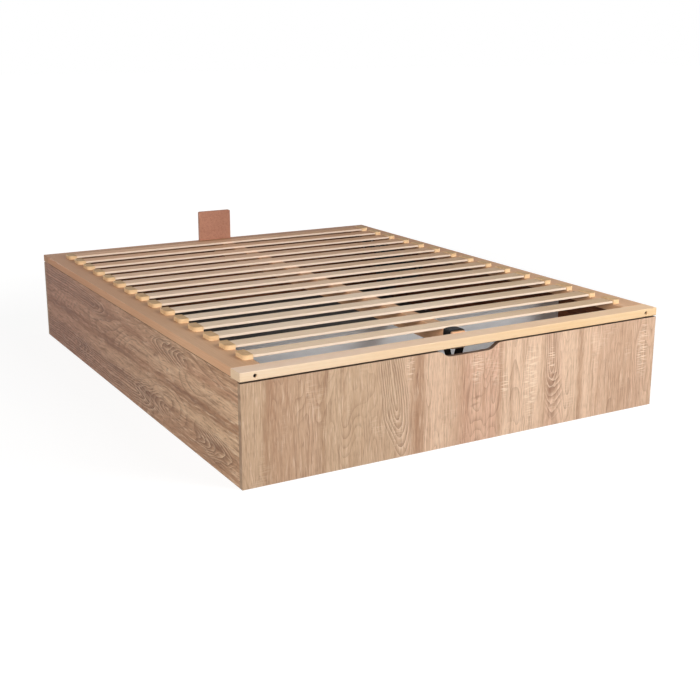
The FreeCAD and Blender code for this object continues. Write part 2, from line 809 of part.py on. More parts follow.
def strut_pivots():
    # The strut's ends lie at one distance from the front arm's base pivot, so the spring turns half as far
    # as the arm. The lower end stands a clearance above the storage floor.
    hub = pivot_at("front_arm_base")
    upper = hub + (pivot_at("front_arm_top") - hub) * strut_arm_share
    drop = hub.z - number("floor_height + strut_foot_clearance")
    run = math.sqrt((upper - hub).Length ** 2 - drop ** 2)
    lower = hub + Vector(0, run, -drop)
    return lower, upper


def lean_of(start, end):
    # Turn about X that lays local +Y along the line from start to end.
    return Rotation(along_x, math.degrees(math.atan2(end.z - start.z, end.y - start.y)))


def base_plate(side, sign):
    lower, upper = strut_pivots()
    low_height = "%r - plate_margin" % lower.z
    rear, front = pivot("rear_arm_base"), pivot("front_arm_base")
    outline = [(front[0] + " - plate_margin", front[1] + " - plate_margin"),
               ("%r - plate_margin" % lower.y, low_height),
               (rear[0] + " + plate_margin", low_height),
               (rear[0] + " + plate_margin", rear[1] + " + plate_margin"),
               (front[0] + " - plate_margin", front[1] + " + plate_margin")]
    body = doc.addObject("PartDesign::Body", side + "_plate_blank")
    base = pad(body, sketch_on(body, "YZ_Plane", side + "_plate_face", outline), "plate_thickness")
    ease(body, base, "Fillet", "Radius", "plate_round", edges_along(base.Shape, along_x))
    start = mirrored(sign, wall_face + " - plate_thickness", wall_face)
    locate(body, (start, "0", "0"))
    tools = []
    far = start + " - overrun"
    for at in (pivot_at("rear_arm_base"), pivot_at("front_arm_base"), lower):
        tools.append(cylinder(side + "_pivot_hole", "pivot_radius + pivot_clearance",
                              "plate_thickness + 2*overrun", (far, repr(at.y), repr(at.z)), "+x"))
    for at in plate_screw_points():
        tools.append(cone(side + "_screw_sink", "screw_head_radius + fitting_clearance",
                          "screw_radius + fitting_clearance", "plate_thickness",
                          (("%d*(" + wall_face + " - plate_thickness)") % sign, repr(at.y), repr(at.z)),
                          "+x" if sign > 0 else "-x"))
    finish(side + "_base_plate", cut(side + "_plate", body, tools))


def plate_screw_points():
    lower, upper = strut_pivots()
    corners = (pivot_at("rear_arm_base"), pivot_at("front_arm_base"), lower)
    points = []
    for shares in plate_screw_shares:
        point = Vector()
        for share, corner in zip(shares, corners):
            point = point + corner * share
        points.append(point)
    return points


def plate_screws():
    places = []
    for side, sign in both_sides:
        for at in plate_screw_points():
            seat = Vector(sign * number(wall_face + " - plate_thickness"), at.y, at.z)
            places.append(Placement(seat, turn_to["+x" if sign > 0 else "-x"]))
    group("base_plate_screws", screw("plate_screw", "plate_screw_length"), places)


def arm(label, sign, base_name, top_name, extra_holes):
    # A flat bar with round ends; its base pivot is at the local origin.
    base, top = pivot_at(base_name), pivot_at(top_name)
    reaches, drops = zip(pivot_places[base_name], pivot_places[top_name])
    length = "sqrt((%s - %s)^2 + (%s - %s)^2)" % (reaches + drops)
    bar = block(label + "_bar", ("arm_thickness", length, "arm_width"), ("0", "0", "-arm_width/2"))
    ends = [cylinder(label + "_end", "arm_width/2", "arm_thickness", ("0", along, "0"), "+x")
            for along in ("0", length)]
    blank = fuse(label + "_blank", [bar] + ends)
    holes = [cylinder(label + "_hole", radius, "arm_thickness + 2*overrun", ("-overrun", along, up), "+x")
             for radius, along, up in extra_holes(length)]
    item = cut(label + "_cut", blank, holes)
    start = number(mirrored(sign, arm_outer + " - arm_thickness", arm_outer))
    item.Placement = Placement(Vector(start, base.y, base.z), lean_of(base, top))
    finish(label, item)


def rear_arm(side, sign):
    running = "pivot_radius + pivot_clearance"
    arm(side + "_rear_arm", sign, "rear_arm_base", "rear_arm_top",
        lambda length: [(running, "0", "0"), (running, length, "0")])


def front_arm(side, sign):
    # The hole at the top pivot is wide and off centre: the linkage is open there.
    base, top = pivot_at("front_arm_base"), pivot_at("front_arm_top")
    shift = Vector(0, -number("open_pivot_reach_shift"), number("open_pivot_height_shift"))
    local = lean_of(base, top).inverted().multVec(shift)
    running = "pivot_radius + pivot_clearance"
    play = "sqrt(open_pivot_reach_shift^2 + open_pivot_height_shift^2) + open_pivot_clearance"
    arm(side + "_front_arm", sign, "front_arm_base", "front_arm_top",
        lambda length: [(running, "0", "0"), (running, "%s*%r" % (length, strut_arm_share), "0"),
                        ("pivot_radius + " + play, "%s + %r" % (length, local.y), repr(local.z))])


def lift_bracket(side, sign):
    # An angle under the side rail: a flange screwed to the rail and a cheek that carries the top pivots.
    rear = "(bed_length/2 - bracket_start)"
    lobe = rear + " - bracket_lobe_length"
    lip = "side_panel_height - bracket_lip_depth"
    deep = "side_panel_height - bracket_lobe_depth"
    outline = [(rear, rail_bottom), (rear + " - bracket_length", rail_bottom),
               (rear + " - bracket_length", lip), (lobe + " - bracket_lobe_slope", lip), (lobe, deep),
               (rear, deep)]
    cheek = doc.addObject("PartDesign::Body", side + "_cheek")
    base = pad(cheek, sketch_on(cheek, "YZ_Plane", side + "_cheek_face", outline), "plate_thickness")
    waist = number(rail_bottom + " - bracket_lip_depth/2")
    low_corners = edges_along(base.Shape, along_x, lambda at: at.z < waist)
    ease(cheek, base, "Fillet", "Radius", "bracket_round", low_corners)
    start = mirrored(sign, bracket_outer + " - plate_thickness", bracket_outer)
    locate(cheek, (start, "0", "0"))
    flange = block(side + "_flange", ("bracket_flange_width", "bracket_length", "plate_thickness"),
                   (mirrored(sign, bracket_outer + " - bracket_flange_width", bracket_outer),
                    rear + " - bracket_length", rail_bottom + " - plate_thickness"))
    tools = []
    for name in ("rear_arm_top", "front_arm_top"):
        along, up = pivot(name)
        tools.append(cylinder(side + "_rivet_hole", "pivot_radius + pivot_clearance",
                              "plate_thickness + 2*overrun", (start + " - overrun", along, up), "+x"))
    for at in bracket_screw_points(sign):
        tools.append(cone(side + "_bracket_sink", "screw_head_radius + fitting_clearance",
                          "screw_radius + fitting_clearance", "plate_thickness",
                          (repr(at.x), repr(at.y), rail_bottom + " - plate_thickness"), "+z"))
    finish(side + "_lift_bracket", cut(side + "_bracket", fuse(side + "_angle", [cheek, flange]), tools))


def bracket_screw_points(sign):
    across = sign * number(bracket_outer + " - plate_thickness/2 - bracket_flange_width/2")
    points = []
    for share in bracket_screw_shares:
        along = number("bed_length/2 - bracket_start") - share * number("bracket_length")
        points.append(Vector(across, along, number(rail_bottom + " - plate_thickness")))
    return points


def inward(sign):
    return turn_to["-x" if sign > 0 else "+x"]


def rivets_and_studs():
    # Turned pins along X, each drawn from its wall side inwards.
    base_rivet = turned("base_rivet", [
        ("pivot_radius", "0"), ("pivot_radius", "plate_thickness"), ("rivet_head_radius", "plate_thickness"),
        ("rivet_head_radius", "plate_thickness + plate_gap - side_play"),
        ("pivot_radius", "plate_thickness + plate_gap - side_play"),
        ("pivot_radius", "plate_thickness + plate_gap + arm_thickness + side_play"),
        ("rivet_head_radius", "plate_thickness + plate_gap + arm_thickness + side_play"),
        ("rivet_head_radius", "plate_thickness + plate_gap + arm_thickness + rivet_head_height")])
    arm_end = "(rivet_head_height + arm_thickness)"
    bracket_rivet = turned("bracket_rivet", [
        ("rivet_head_radius", "0"), ("rivet_head_radius", "rivet_head_height - side_play"),
        ("pivot_radius", "rivet_head_height - side_play"), ("pivot_radius", arm_end + " + side_play"),
        ("rivet_head_radius", arm_end + " + side_play"), ("rivet_head_radius", arm_end + " + arm_gap"),
        ("pivot_radius", arm_end + " + arm_gap"), ("pivot_radius", arm_end + " + arm_gap + plate_thickness"),
        ("rivet_head_radius", arm_end + " + arm_gap + plate_thickness"),
        ("rivet_head_radius", arm_end + " + arm_gap + plate_thickness + rivet_head_height")])
    eye_start = "(strut_inset - eye_thickness/2)"
    eye_end = "(strut_inset + eye_thickness/2)"
    eye_pin = [
        ("stud_shoulder_radius", eye_start + " - side_play"),
        ("pivot_radius", eye_start + " - side_play"),
        ("pivot_radius", eye_end + " + side_play"),
        ("stud_head_radius", eye_end + " + side_play"),
        ("stud_head_radius", eye_end + " + stud_head_height")]
    lower_stud = turned("lower_stud", [
        ("pivot_radius", "0"), ("pivot_radius", "plate_thickness"),
        ("stud_shoulder_radius", "plate_thickness")] + eye_pin)
    arm_face = "(plate_thickness + plate_gap)"
    upper_stud = turned("upper_stud", [
        ("stud_head_radius", arm_face + " - rivet_head_height"), ("stud_head_radius", arm_face),
        ("pivot_radius", arm_face), ("pivot_radius", arm_face + " + arm_thickness"),
        ("stud_shoulder_radius", arm_face + " + arm_thickness")] + eye_pin)
    lower, upper = strut_pivots()
    base_points = [pivot_at("rear_arm_base"), pivot_at("front_arm_base")]
    top_points = [pivot_at("rear_arm_top"), pivot_at("front_arm_top")]

    def places(points, start):
        return [Placement(Vector(sign * number(start), at.y, at.z), inward(sign))
                for side, sign in both_sides for at in points]

    group("base_pivot_rivets", base_rivet, places(base_points, wall_face))
    group("bracket_pivot_rivets", bracket_rivet, places(top_points, arm_outer + " + rivet_head_height"))
    group("lower_strut_studs", lower_stud, places([lower], wall_face))
    group("upper_strut_studs", upper_stud, places([upper], wall_face))


# Gas springs, drawn along Z from the lower stud to the upper one.

def eye(name, height, parts):
    # A flat eye across X at the given height, joined to the turned parts and bored for its stud.
    ring = cylinder(name + "_ring", "eye_radius", "eye_thickness", ("-eye_thickness/2", "0", height), "+x")
    bore = cylinder(name + "_bore", "pivot_radius + pivot_clearance", "eye_thickness + 2*overrun",
                    ("-eye_thickness/2 - overrun", "0", height), "+x")
    return cut(name + "_eyed", fuse(name + "_blank", [ring] + parts), [bore])


def gas_spring(side, sign):
    lower, upper = strut_pivots()
    length = repr((upper - lower).Length)
    tube_end = "(%s - strut_rod_showing)" % length
    tube_skin = turned(side + "_tube", [
        ("eye_neck_radius", "0"), ("eye_neck_radius", "strut_tube_start"),
        ("strut_tube_radius - strut_edge_round", "strut_tube_start"),
        ("strut_tube_radius", "strut_tube_start + strut_edge_round"),
        ("strut_tube_radius", tube_end + " - strut_edge_round"),
        ("strut_tube_radius - strut_edge_round", tube_end)])
    hollow = cylinder(side + "_tube_bore", "strut_bore_radius",
                      tube_end + " - strut_guide_length - strut_tube_start - strut_cap_thickness",
                      ("0", "0", "strut_tube_start + strut_cap_thickness"), "+z")
    guide = cylinder(side + "_guide_bore", "strut_rod_radius + pivot_clearance",
                     "strut_guide_length + 2*overrun",
                     ("0", "0", tube_end + " - strut_guide_length - overrun"), "+z")
    tube = cut(side + "_tube_bored", tube_skin, [fuse(side + "_tube_bores", [hollow, guide])])
    cylinder_item = eye(side + "_tube_eye", "0", [tube])
    rod_skin = turned(side + "_rod", [
        ("strut_piston_radius", "strut_rod_tip"),
        ("strut_piston_radius", "strut_rod_tip + strut_piston_length"),
        ("strut_rod_radius", "strut_rod_tip + strut_piston_length"),
        ("strut_rod_radius", length + " - eye_radius - strut_collar_length"),
        ("strut_rod_radius + strut_edge_round", length + " - eye_radius - strut_collar_length"),
        ("strut_rod_radius + strut_edge_round", length + " - eye_radius"),
        ("eye_neck_radius", length + " - eye_radius"), ("eye_neck_radius", length)])
    rod_item = eye(side + "_rod_eye", length, [rod_skin])
    # Local Z is laid along the line from the lower stud to the upper one.
    lean = Rotation(along_x, math.degrees(math.atan2(upper.z - lower.z, upper.y - lower.y)) - 90)
    at = Placement(Vector(sign * number(strut_line), lower.y, lower.z), lean)
    cylinder_item.Placement = at
    rod_item.Placement = at
    finish(side + "_gas_cylinder", cylinder_item)
    finish(side + "_gas_rod", rod_item)


# Steel angles in front of the centre rail's ends, under the end rails, and the screws of the frame

def centre_angles():
    # One angle: its upright leg on the rail's end face at Y 0, its flat leg under the end rail towards -Y.
    upright = block("angle_upright", ("angle_width", "plate_thickness", "angle_drop"),
                    ("-angle_width/2", "-plate_thickness", "-angle_drop"))
    flat = block("angle_flat", ("angle_width", "angle_leg", "plate_thickness"),
                 ("-angle_width/2", "-angle_leg", "-plate_thickness"))
    flat_screw = ("0", "-angle_leg/2 - plate_thickness/2", "-plate_thickness")
    upright_screw = ("0", "-plate_thickness", "-angle_drop/2 - plate_thickness/2")
    sinks = [cone("angle_sink", "screw_head_radius + fitting_clearance", "screw_radius + fitting_clearance",
                  "plate_thickness", at, way) for at, way in ((flat_screw, "+z"), (upright_screw, "+y"))]
    angle = cut("centre_angle", fuse("centre_angle_blank", [upright, flat]), sinks)
    places, screws = [], []
    for end_name, end in both_ends:
        turn = Rotation(along_z, 180 if end > 0 else 0)
        place = Placement(Vector(0, end * number(long_rail_length + "/2"), number(rail_bottom)), turn)
        places.append(place)
        for at, way in ((flat_screw, "+z"), (upright_screw, "+y")):
            local = Placement(Vector(*[number(text) for text in at]), turn_to[way])
            screws.append(place.multiply(local))
    group("centre_rail_angles", angle, places)
    return screws


def frame_screws(places):
    for side, sign in both_sides:
        for at in bracket_screw_points(sign):
            places.append(Placement(at, Rotation()))
        stop_at = Vector(sign * number("stop_screw_spacing/2"), number(head_face), number(bolt_height))
        places.append(Placement(stop_at, turn_to["-y"]))
    group("frame_screws", screw("frame_screw", "frame_screw_length"), places)


def build():
    foot_panel()
    head_panel()
    for side, sign in both_sides:
        side_panel(side, sign)
    corner_fittings()
    storage_floor()
    front_cross_bearer()
    rear_cross_bearer()
    battens()
    batten_screws()
    for end_name, end in both_ends:
        end_rail(end_name, end)
    for side, sign in both_sides:
        side_rail(side, sign)
    centre_rail()
    frame_bolts()
    slats()
    slat_holders()
    mattress_stop()
    pull_strap()
    for side, sign in both_sides:
        base_plate(side, sign)
        rear_arm(side, sign)
        front_arm(side, sign)
        lift_bracket(side, sign)
        gas_spring(side, sign)
    plate_screws()
    rivets_and_studs()
    frame_screws(centre_angles())


build()
doc.recompute()

for item in doc.Objects:
    if "Invalid" in item.State or "Error" in item.State:
        raise ValueError("%s failed: %s" % (item.Name, item.State))
for label, item in nodes.items():
    if item.Shape.isNull() or not item.Shape.isValid():
        raise ValueError(label + " has no valid shape")

os.makedirs("parts", exist_ok=True)
for label, item in nodes.items():
    item.Shape.exportStep("parts/%s.step" % label)
print(len(nodes), "nodes")
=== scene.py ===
import math

import bpy
import numpy as np
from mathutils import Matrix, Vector


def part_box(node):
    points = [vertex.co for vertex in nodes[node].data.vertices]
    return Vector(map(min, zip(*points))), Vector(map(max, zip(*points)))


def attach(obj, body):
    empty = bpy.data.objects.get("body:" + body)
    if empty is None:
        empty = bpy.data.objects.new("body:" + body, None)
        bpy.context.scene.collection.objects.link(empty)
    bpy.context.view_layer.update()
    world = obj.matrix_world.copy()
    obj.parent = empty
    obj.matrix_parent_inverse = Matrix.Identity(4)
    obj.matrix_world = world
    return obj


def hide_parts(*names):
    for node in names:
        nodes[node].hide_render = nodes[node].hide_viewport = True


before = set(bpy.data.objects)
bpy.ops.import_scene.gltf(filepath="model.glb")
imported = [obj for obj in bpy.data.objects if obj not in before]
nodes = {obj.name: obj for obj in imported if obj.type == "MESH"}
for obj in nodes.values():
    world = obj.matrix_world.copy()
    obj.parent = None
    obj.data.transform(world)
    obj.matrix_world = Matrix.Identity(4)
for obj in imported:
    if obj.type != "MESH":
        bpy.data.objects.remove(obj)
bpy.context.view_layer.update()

# Looks of a storage bed base: panels with a printed oak grain, a pine lift frame, slats in plastic holders.
# Metres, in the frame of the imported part: X across, Y from the foot to the head, Z up from the floor.

scene = bpy.context.scene
axisX, axisY, axisZ = range(3)


# Shader maths

class Wire:
    # a value on its way through a node tree: sums and products of wires add Math nodes
    def __init__(self, sheet, socket):
        self.sheet = sheet
        self.socket = socket

    def math(self, operation, *others):
        values = (self,) + others
        return self.sheet.node("ShaderNodeMath", {"operation": operation}, dict(enumerate(values)))

    def swapped(self, operation, other):
        return self.sheet.node("ShaderNodeMath", {"operation": operation}, {0: other, 1: self})

    def __add__(self, other):
        return self.math("ADD", other)

    def __radd__(self, other):
        return self.swapped("ADD", other)

    def __sub__(self, other):
        return self.math("SUBTRACT", other)

    def __rsub__(self, other):
        return self.swapped("SUBTRACT", other)

    def __mul__(self, other):
        return self.math("MULTIPLY", other)

    def __rmul__(self, other):
        return self.swapped("MULTIPLY", other)

    def __truediv__(self, other):
        return self.math("DIVIDE", other)

    def __rtruediv__(self, other):
        return self.swapped("DIVIDE", other)

    def __pow__(self, other):
        return self.math("POWER", other)

    def __rpow__(self, other):
        return self.swapped("POWER", other)


class Sheet:
    # a node tree, and the one method that adds nodes to it
    def __init__(self, tree):
        self.tree = tree

    def node(self, kind, settings, sockets, output=0):
        made = self.tree.nodes.new(kind)
        for key, value in settings.items():
            if key == "stops":
                self.setStops(made.color_ramp, value)
            else:
                setattr(made, key, value)
        for key, value in sockets.items():
            self.plug(made.inputs[key], value)
        return Wire(self, made.outputs[output])

    def setStops(self, ramp, stops):
        # a ramp of greys from (place, shade) pairs, with the places from 0 to 1
        for place, shade in stops[1:-1]:
            ramp.elements.new(place).color = (shade, shade, shade, 1.0)
        for element, (place, shade) in zip((ramp.elements[0], ramp.elements[-1]), (stops[0], stops[-1])):
            element.position = place
            element.color = (shade, shade, shade, 1.0)

    def plug(self, socket, value):
        if isinstance(value, Wire):
            self.tree.links.new(value.socket, socket)
        else:
            socket.default_value = value

    def seenRay(self):
        # 1 for rays that show the stage itself: straight to the eye, mirrored or through glass
        seen = self.node("ShaderNodeLightPath", {}, {}, "Is Camera Ray")
        outputs = seen.socket.node.outputs
        for name in ("Is Glossy Ray", "Is Transmission Ray"):
            seen = seen.math("MAXIMUM", Wire(self, outputs[name]))
        return seen


class Finish(Sheet):
    # one material; constants go straight on the shader's sockets
    def __init__(self, name, constants):
        self.material = bpy.data.materials.new(name)
        self.material.use_nodes = True
        super().__init__(self.material.node_tree)
        self.shader = self.tree.nodes["Principled BSDF"]
        for socket, value in constants.items():
            self.shader.inputs[socket].default_value = value

    def place(self):
        # object coordinates as three wires: x, y, z in metres
        return self.parts(self.node("ShaderNodeTexCoord", {}, {}, "Object"))

    def facing(self):
        # which way the surface looks, in the piece's own axes, as three wires
        return self.parts(self.node("ShaderNodeTexCoord", {}, {}, "Normal"))

    def parts(self, vector):
        split = self.node("ShaderNodeSeparateXYZ", {}, {0: vector})
        return [Wire(self, socket) for socket in split.socket.node.outputs]

    def cloud(self, place, scale, detail=2.0, roughness=0.5):
        # cloud noise: lumps per unit of each of the three values in place
        spread = [value * lumps for value, lumps in zip(place, scale)]
        vector = self.node("ShaderNodeCombineXYZ", {}, dict(enumerate(spread)))
        sockets = {"Vector": vector, "Scale": 1.0, "Detail": detail, "Roughness": roughness}
        return self.node("ShaderNodeTexNoise", {}, sockets, "Fac")

    def dice(self, number):
        # three throws, 0 to 1, that stay the same for one whole number
        throw = self.node("ShaderNodeTexWhiteNoise", {"noise_dimensions": "1D"}, {"W": number}, "Color")
        return self.parts(throw)

    def step(self, value, low, high):
        # smooth rise from 0 at low to 1 at high
        settings = {"interpolation_type": "SMOOTHSTEP"}
        sockets = {"Value": value, "From Min": low, "From Max": high}
        return self.node("ShaderNodeMapRange", settings, sockets)

    def mix(self, factor, first, second, blend="MIX"):
        settings = {"data_type": "RGBA", "blend_type": blend}
        return self.node("ShaderNodeMix", settings, {0: factor, 6: first, 7: second}, 2)

    def tinted(self, tone, colour):
        return self.mix(1.0, tone, colour, "MULTIPLY")

    def wear(self, colour, rough, height, depth):
        # joins the finish: colour, roughness, and a bump of the given depth in metres
        self.plug(self.shader.inputs["Base Color"], colour)
        self.plug(self.shader.inputs["Roughness"], rough)
        bump = {"Strength": 1.0, "Distance": depth, "Height": height}
        self.plug(self.shader.inputs["Normal"], self.node("ShaderNodeBump", {}, bump))
        return self.material


def tint(red, green, blue):
    # a colour as it is seen on a screen, 0 to 255, turned to linear light by the sRGB curve
    seen = np.array([red, green, blue]) / 255
    light = np.where(seen <= 0.04045, seen / 12.92, ((seen + 0.055) / 1.055) ** 2.4)
    return (*light.tolist(), 1.0)


def length(first, second):
    return (first * first + second * second).math("SQRT")


def dress(material, *names):
    for name in names:
        slots = nodes[name].data.materials
        slots.clear()
        slots.append(material)


def middleOf(name, axis):
    low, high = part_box(name)
    return (low[axis] + high[axis]) / 2


# Panels: a printed oak of narrow boards

oakLook = {
    "light": tint(242, 212, 186), "dark": tint(170, 130, 102), "pink": tint(222, 178, 156),
    "grey": tint(207, 183, 154), "line": tint(122, 84, 62), "pore": tint(110, 78, 60),
    # painted shade: the inner colour is multiplied on the inner faces for the shade inside the box, and the
    # dark edging colour also lays painted shade on the narrow top edge
    "tick": tint(252, 232, 210), "edge": tint(56, 40, 30), "inner": tint(152, 114, 90),
    "gloss": 0.35, "rough": 0.5, "fibreRough": 0.16, "bumpDepth": 0.0004, "edgeWidth": 0.0012,
    "waver": 0.016, "curl": 0.012, "growthLines": 24, "hueSpread": 0.35,
    # noise: lumps per metre across and along the boards, shift of the seed, detail, roughness
    "noise": {
        "swirl": (8, 2.4, 0.0, 2.0, 0.5), "curl": (30, 11, 2.0, 2.0, 0.5), "worn": (26, 14, 7.0, 2.0, 0.5),
        "mark": (26, 240, 7.0, 2.0, 0.5), "stray": (15, 6, 4.0, 1.0, 0.5), "fibre": (270, 15, 0.0, 3.0, 0.6),
        "line": (120, 5, 5.0, 3.0, 0.6), "streak": (40, 3, 9.0, 2.0, 0.5), "pore": (380, 40, 2.0, 1.0, 0.5),
        "growth": (9, 2, 15.0, 1.0, 0.5), "fade": (12, 3, 18.0, 2.0, 0.5), "hue": (11, 1.4, 12.0, 1.0, 0.5),
    },
    # band: where a layer's step starts and ends, on its noise, hue or facing
    "band": {
        "worn": (0.2, 0.5), "mark": (0.48, 0.62), "stray": (0.56, 0.68), "fade": (0.35, 0.65),
        "pink": (0.5, 0.9), "grey": (0.1, 0.5), "streak": (0.5, 0.72), "line": (0.5, 0.72),
        "fibre": (0.48, 0.7), "flake": (0.3, 0.48), "pore": (0.54, 0.7),
        "top": (0.5, 0.8), "inner": (0.0, -0.3),
    },
    # paint: how much of its colour a layer lays on
    "paint": {
        "pink": 0.5, "grey": 0.55, "streak": 0.45, "line": 0.36, "growth": 0.42, "fibre": 0.26,
        "flake": 0.4, "late": 0.6, "early": 0.42, "knot": 0.36, "pore": 0.26, "tick": 0.7, "stray": 0.25,
        "edge": 0.3, "top": 0.85,
    },
    # how far swirl and curl push a figure, across and along, and the share of a patch that is full
    "arcSwirl": (0.03, 0.06), "arcCurl": (0.02, 0.05), "heartSwirl": (0.03, 0.05), "heartCurl": 0.012,
    "knotCurl": (0.02, 0.03), "full": {"arcs": 0.5, "hearts": 0.7, "ticks": 0.3, "knots": 0.1},
    # powers that sharpen the flanks of rings and growth lines, and the relief of each layer
    "lateEdge": 2.0, "earlyEdge": 4.0, "growthEdge": 3.0,
    "relief": {"fibre": 0.5, "pore": 0.6, "late": 0.4, "tick": 0.25},
}

# boards: the place of an edge across the panel, in metres, with the shade there, 0 dark to 1 light
# blush: the place across with the hue there, 0 grey, 0.5 plain, 1 pink
# arcs: middle across and along, half width and half length of the patch, pitch along, bend's width, rise
# hearts: where a heart ends, across and along, the reach of its rings, their stretch along, pitch and lean
# ticks and knots: middle across and along, half width and half length of the patch
# drift: the tint at the low and the high end of the panel's length
endOak = {
    "boards": [
        (-0.75, 0.42), (-0.69, 0.44), (-0.676, 0.1), (-0.655, 0.3), (-0.6, 0.34), (-0.51, 0.5),
        (-0.498, 0.06), (-0.482, 0.5), (-0.415, 0.6), (-0.4, 0.2), (-0.385, 0.5), (-0.245, 0.5),
        (-0.225, 0.8), (-0.19, 0.26), (-0.165, 0.3), (-0.152, 0.85), (-0.09, 0.8), (-0.055, 0.56),
        (-0.008, 0.3), (0.02, 0.72), (0.112, 0.68), (0.118, 0.4), (0.13, 0.88), (0.27, 0.86),
        (0.29, 0.5), (0.36, 0.86), (0.425, 0.8), (0.437, 0.3), (0.455, 0.84), (0.53, 0.62),
        (0.6, 0.44), (0.75, 0.62),
    ],
    "blush": [
        (-0.75, 0.15), (-0.69, 0.2), (-0.66, 0.34), (-0.52, 0.34), (-0.47, 0.12), (-0.28, 0.16),
        (-0.2, 0.45), (-0.06, 0.5), (0.0, 0.85), (0.1, 0.85), (0.13, 0.5), (0.28, 0.42),
        (0.31, 0.75), (0.35, 0.7), (0.4, 0.45), (0.6, 0.6), (0.75, 0.55),
    ],
    "arcs": [(0.33, 0.1, 0.042, 0.1, 0.024, 0.016, 0.02)],
    "hearts": [(-0.262, 0.165, 0.056, 3.5, 0.0076, 0.16), (0.318, 0.2, 0.034, 3.0, 0.0078, 0.0)],
    "ticks": [
        (0.03, 0.235, 0.03, 0.07), (0.135, 0.165, 0.022, 0.05), (0.235, 0.16, 0.036, 0.16),
        (0.315, 0.22, 0.02, 0.06), (0.7, 0.2, 0.03, 0.13), (-0.21, 0.27, 0.02, 0.05),
    ],
    "knots": [
        (0.0, 0.155, 0.009, 0.055), (0.034, 0.142, 0.028, 0.007), (0.024, 0.12, 0.022, 0.007),
        (0.325, 0.035, 0.03, 0.02), (-0.49, 0.27, 0.012, 0.05), (0.32, 0.12, 0.022, 0.03),
    ],
    "drift": (tint(255, 252, 248), tint(255, 252, 248)), "fineness": (1.3, 0.9), "contrast": 0.95,
    "seeds": {"foot_panel": 3.0, "head_panel": 11.0},
}
sideOak = {
    "boards": [
        (0.0, 0.44), (0.022, 0.26), (0.086, 0.36), (0.1, 0.82), (0.13, 0.78), (0.146, 0.4),
        (0.152, 0.1), (0.158, 0.5), (0.166, 0.12), (0.173, 0.06), (0.182, 0.62), (0.222, 0.86),
        (0.238, 0.4), (0.25, 0.2), (0.262, 0.5), (0.307, 0.54),
    ],
    "blush": [
        (0.0, 0.65), (0.08, 0.6), (0.1, 0.35), (0.13, 0.35), (0.16, 0.6), (0.22, 0.4),
        (0.25, 0.7), (0.307, 0.6),
    ],
    "arcs": [
        (0.066, 0.46, 0.045, 0.15, 0.044, 0.012, 0.05), (0.07, -0.24, 0.05, 0.22, 0.044, 0.012, -0.06),
        (0.064, -0.77, 0.055, 0.17, 0.038, 0.012, 0.05), (0.265, -0.42, 0.045, 0.2, 0.044, 0.012, -0.06),
    ],
    "hearts": [(0.05, -0.1, 0.05, 5.0, 0.009, 0.0), (0.262, 0.36, 0.04, 6.0, 0.009, 0.0)],
    "ticks": [],
    "knots": [
        (0.163, 0.64, 0.011, 0.2), (0.166, -0.55, 0.01, 0.24), (0.156, 0.02, 0.011, 0.3),
        (0.03, 0.05, 0.016, 0.05), (0.07, 0.45, 0.018, 0.06), (0.075, -0.25, 0.016, 0.14),
        (0.075, -0.78, 0.016, 0.07), (0.262, 0.3, 0.01, 0.4), (0.076, 0.1, 0.01, 0.24),
    ],
    # painted shade, in part: the side panels' tint turns darker and redder towards the head, for the light
    # falling off
    "drift": (tint(255, 249, 236), tint(220, 193, 185)), "fineness": (0.55, 0.7), "contrast": 1.6,
    "seeds": {"left_side_panel": 21.0, "right_side_panel": 29.0},
}


def patchOf(finish, u, v, patch, full):
    # 1 inside a long oval, fading out at its rim
    middleU, middleV, halfU, halfV = patch
    return 1 - finish.step(length((u - middleU) / halfU, (v - middleV) / halfV), full, 1.0)


def oakNoise(finish, key, u, v, seed, look, fineness=(1.0, 1.0)):
    # cloud noise of one layer, its lumps drawn out along the boards
    across, along, shift, detail, roughness = look["noise"][key]
    scale = (across * fineness[0], along * fineness[1], 1.0)
    return finish.cloud((u, v, seed + shift), scale, detail, roughness)


def oakRings(finish, u, v, swirl, curl, worn, oak, look):
    full = look["full"]
    rings = []
    # arcs: nested bows, v = middle + rise (sqrt(1 + (u / bend)^2) - 1) + whole pitches
    swirlU, swirlV = look["arcSwirl"]
    curlU, curlV = look["arcCurl"]
    for middleU, middleV, halfU, halfV, pitch, bend, rise in oak["arcs"]:
        awayU = (u - middleU + swirl * swirlU + curl * curlU) / bend
        bow = (awayU * awayU + 1.0).math("SQRT") * rise - rise
        turn = ((v - middleV + swirl * swirlV + curl * curlV - bow) / pitch).math("FRACT")
        rings.append((turn, patchOf(finish, u, v, (middleU, middleV, halfU, halfV), full["arcs"]) * worn))
    # hearts: rings by the distance from a line up the board, stretched along it below the line's end
    swirlU, swirlV = look["heartSwirl"]
    for middleU, endV, reach, stretch, pitch, lean in oak["hearts"]:
        above = v - endV
        awayU = u - middleU + above * lean + swirl * swirlU + curl * look["heartCurl"]
        below = ((above + swirl * swirlV) / stretch).math("MINIMUM", 0.0)
        apart = length(awayU, below)
        patch = 1 - finish.step(apart, reach * full["hearts"], reach)
        rings.append(((apart / pitch).math("FRACT"), patch * worn))
    # late wood darkens one flank of each ring, early wood lightens the other
    late, early = 0.0, 0.0
    for turn, patch in rings:
        late = turn ** look["lateEdge"] * patch + late
        early = (1 - turn) ** look["earlyEdge"] * patch + early
    return late, early


def oakMarks(finish, u, v, curl, seed, oak, look):
    # ticks: pale saw marks across the boards, from one noise for every panel; knots: dark smudges
    band, full = look["band"], look["full"]
    mark = finish.step(oakNoise(finish, "mark", u, v, 0.0, look), *band["mark"])
    stray = finish.step(oakNoise(finish, "stray", u, v, seed, look), *band["stray"])
    tick = stray * look["paint"]["stray"] * mark
    for patch in oak["ticks"]:
        tick = patchOf(finish, u, v, patch, full["ticks"]) * mark + tick
    curlU, curlV = look["knotCurl"]
    knot = 0.0
    for patch in oak["knots"]:
        knot = patchOf(finish, u + curl * curlU, v + curl * curlV, patch, full["knots"]) + knot
    return tick, knot


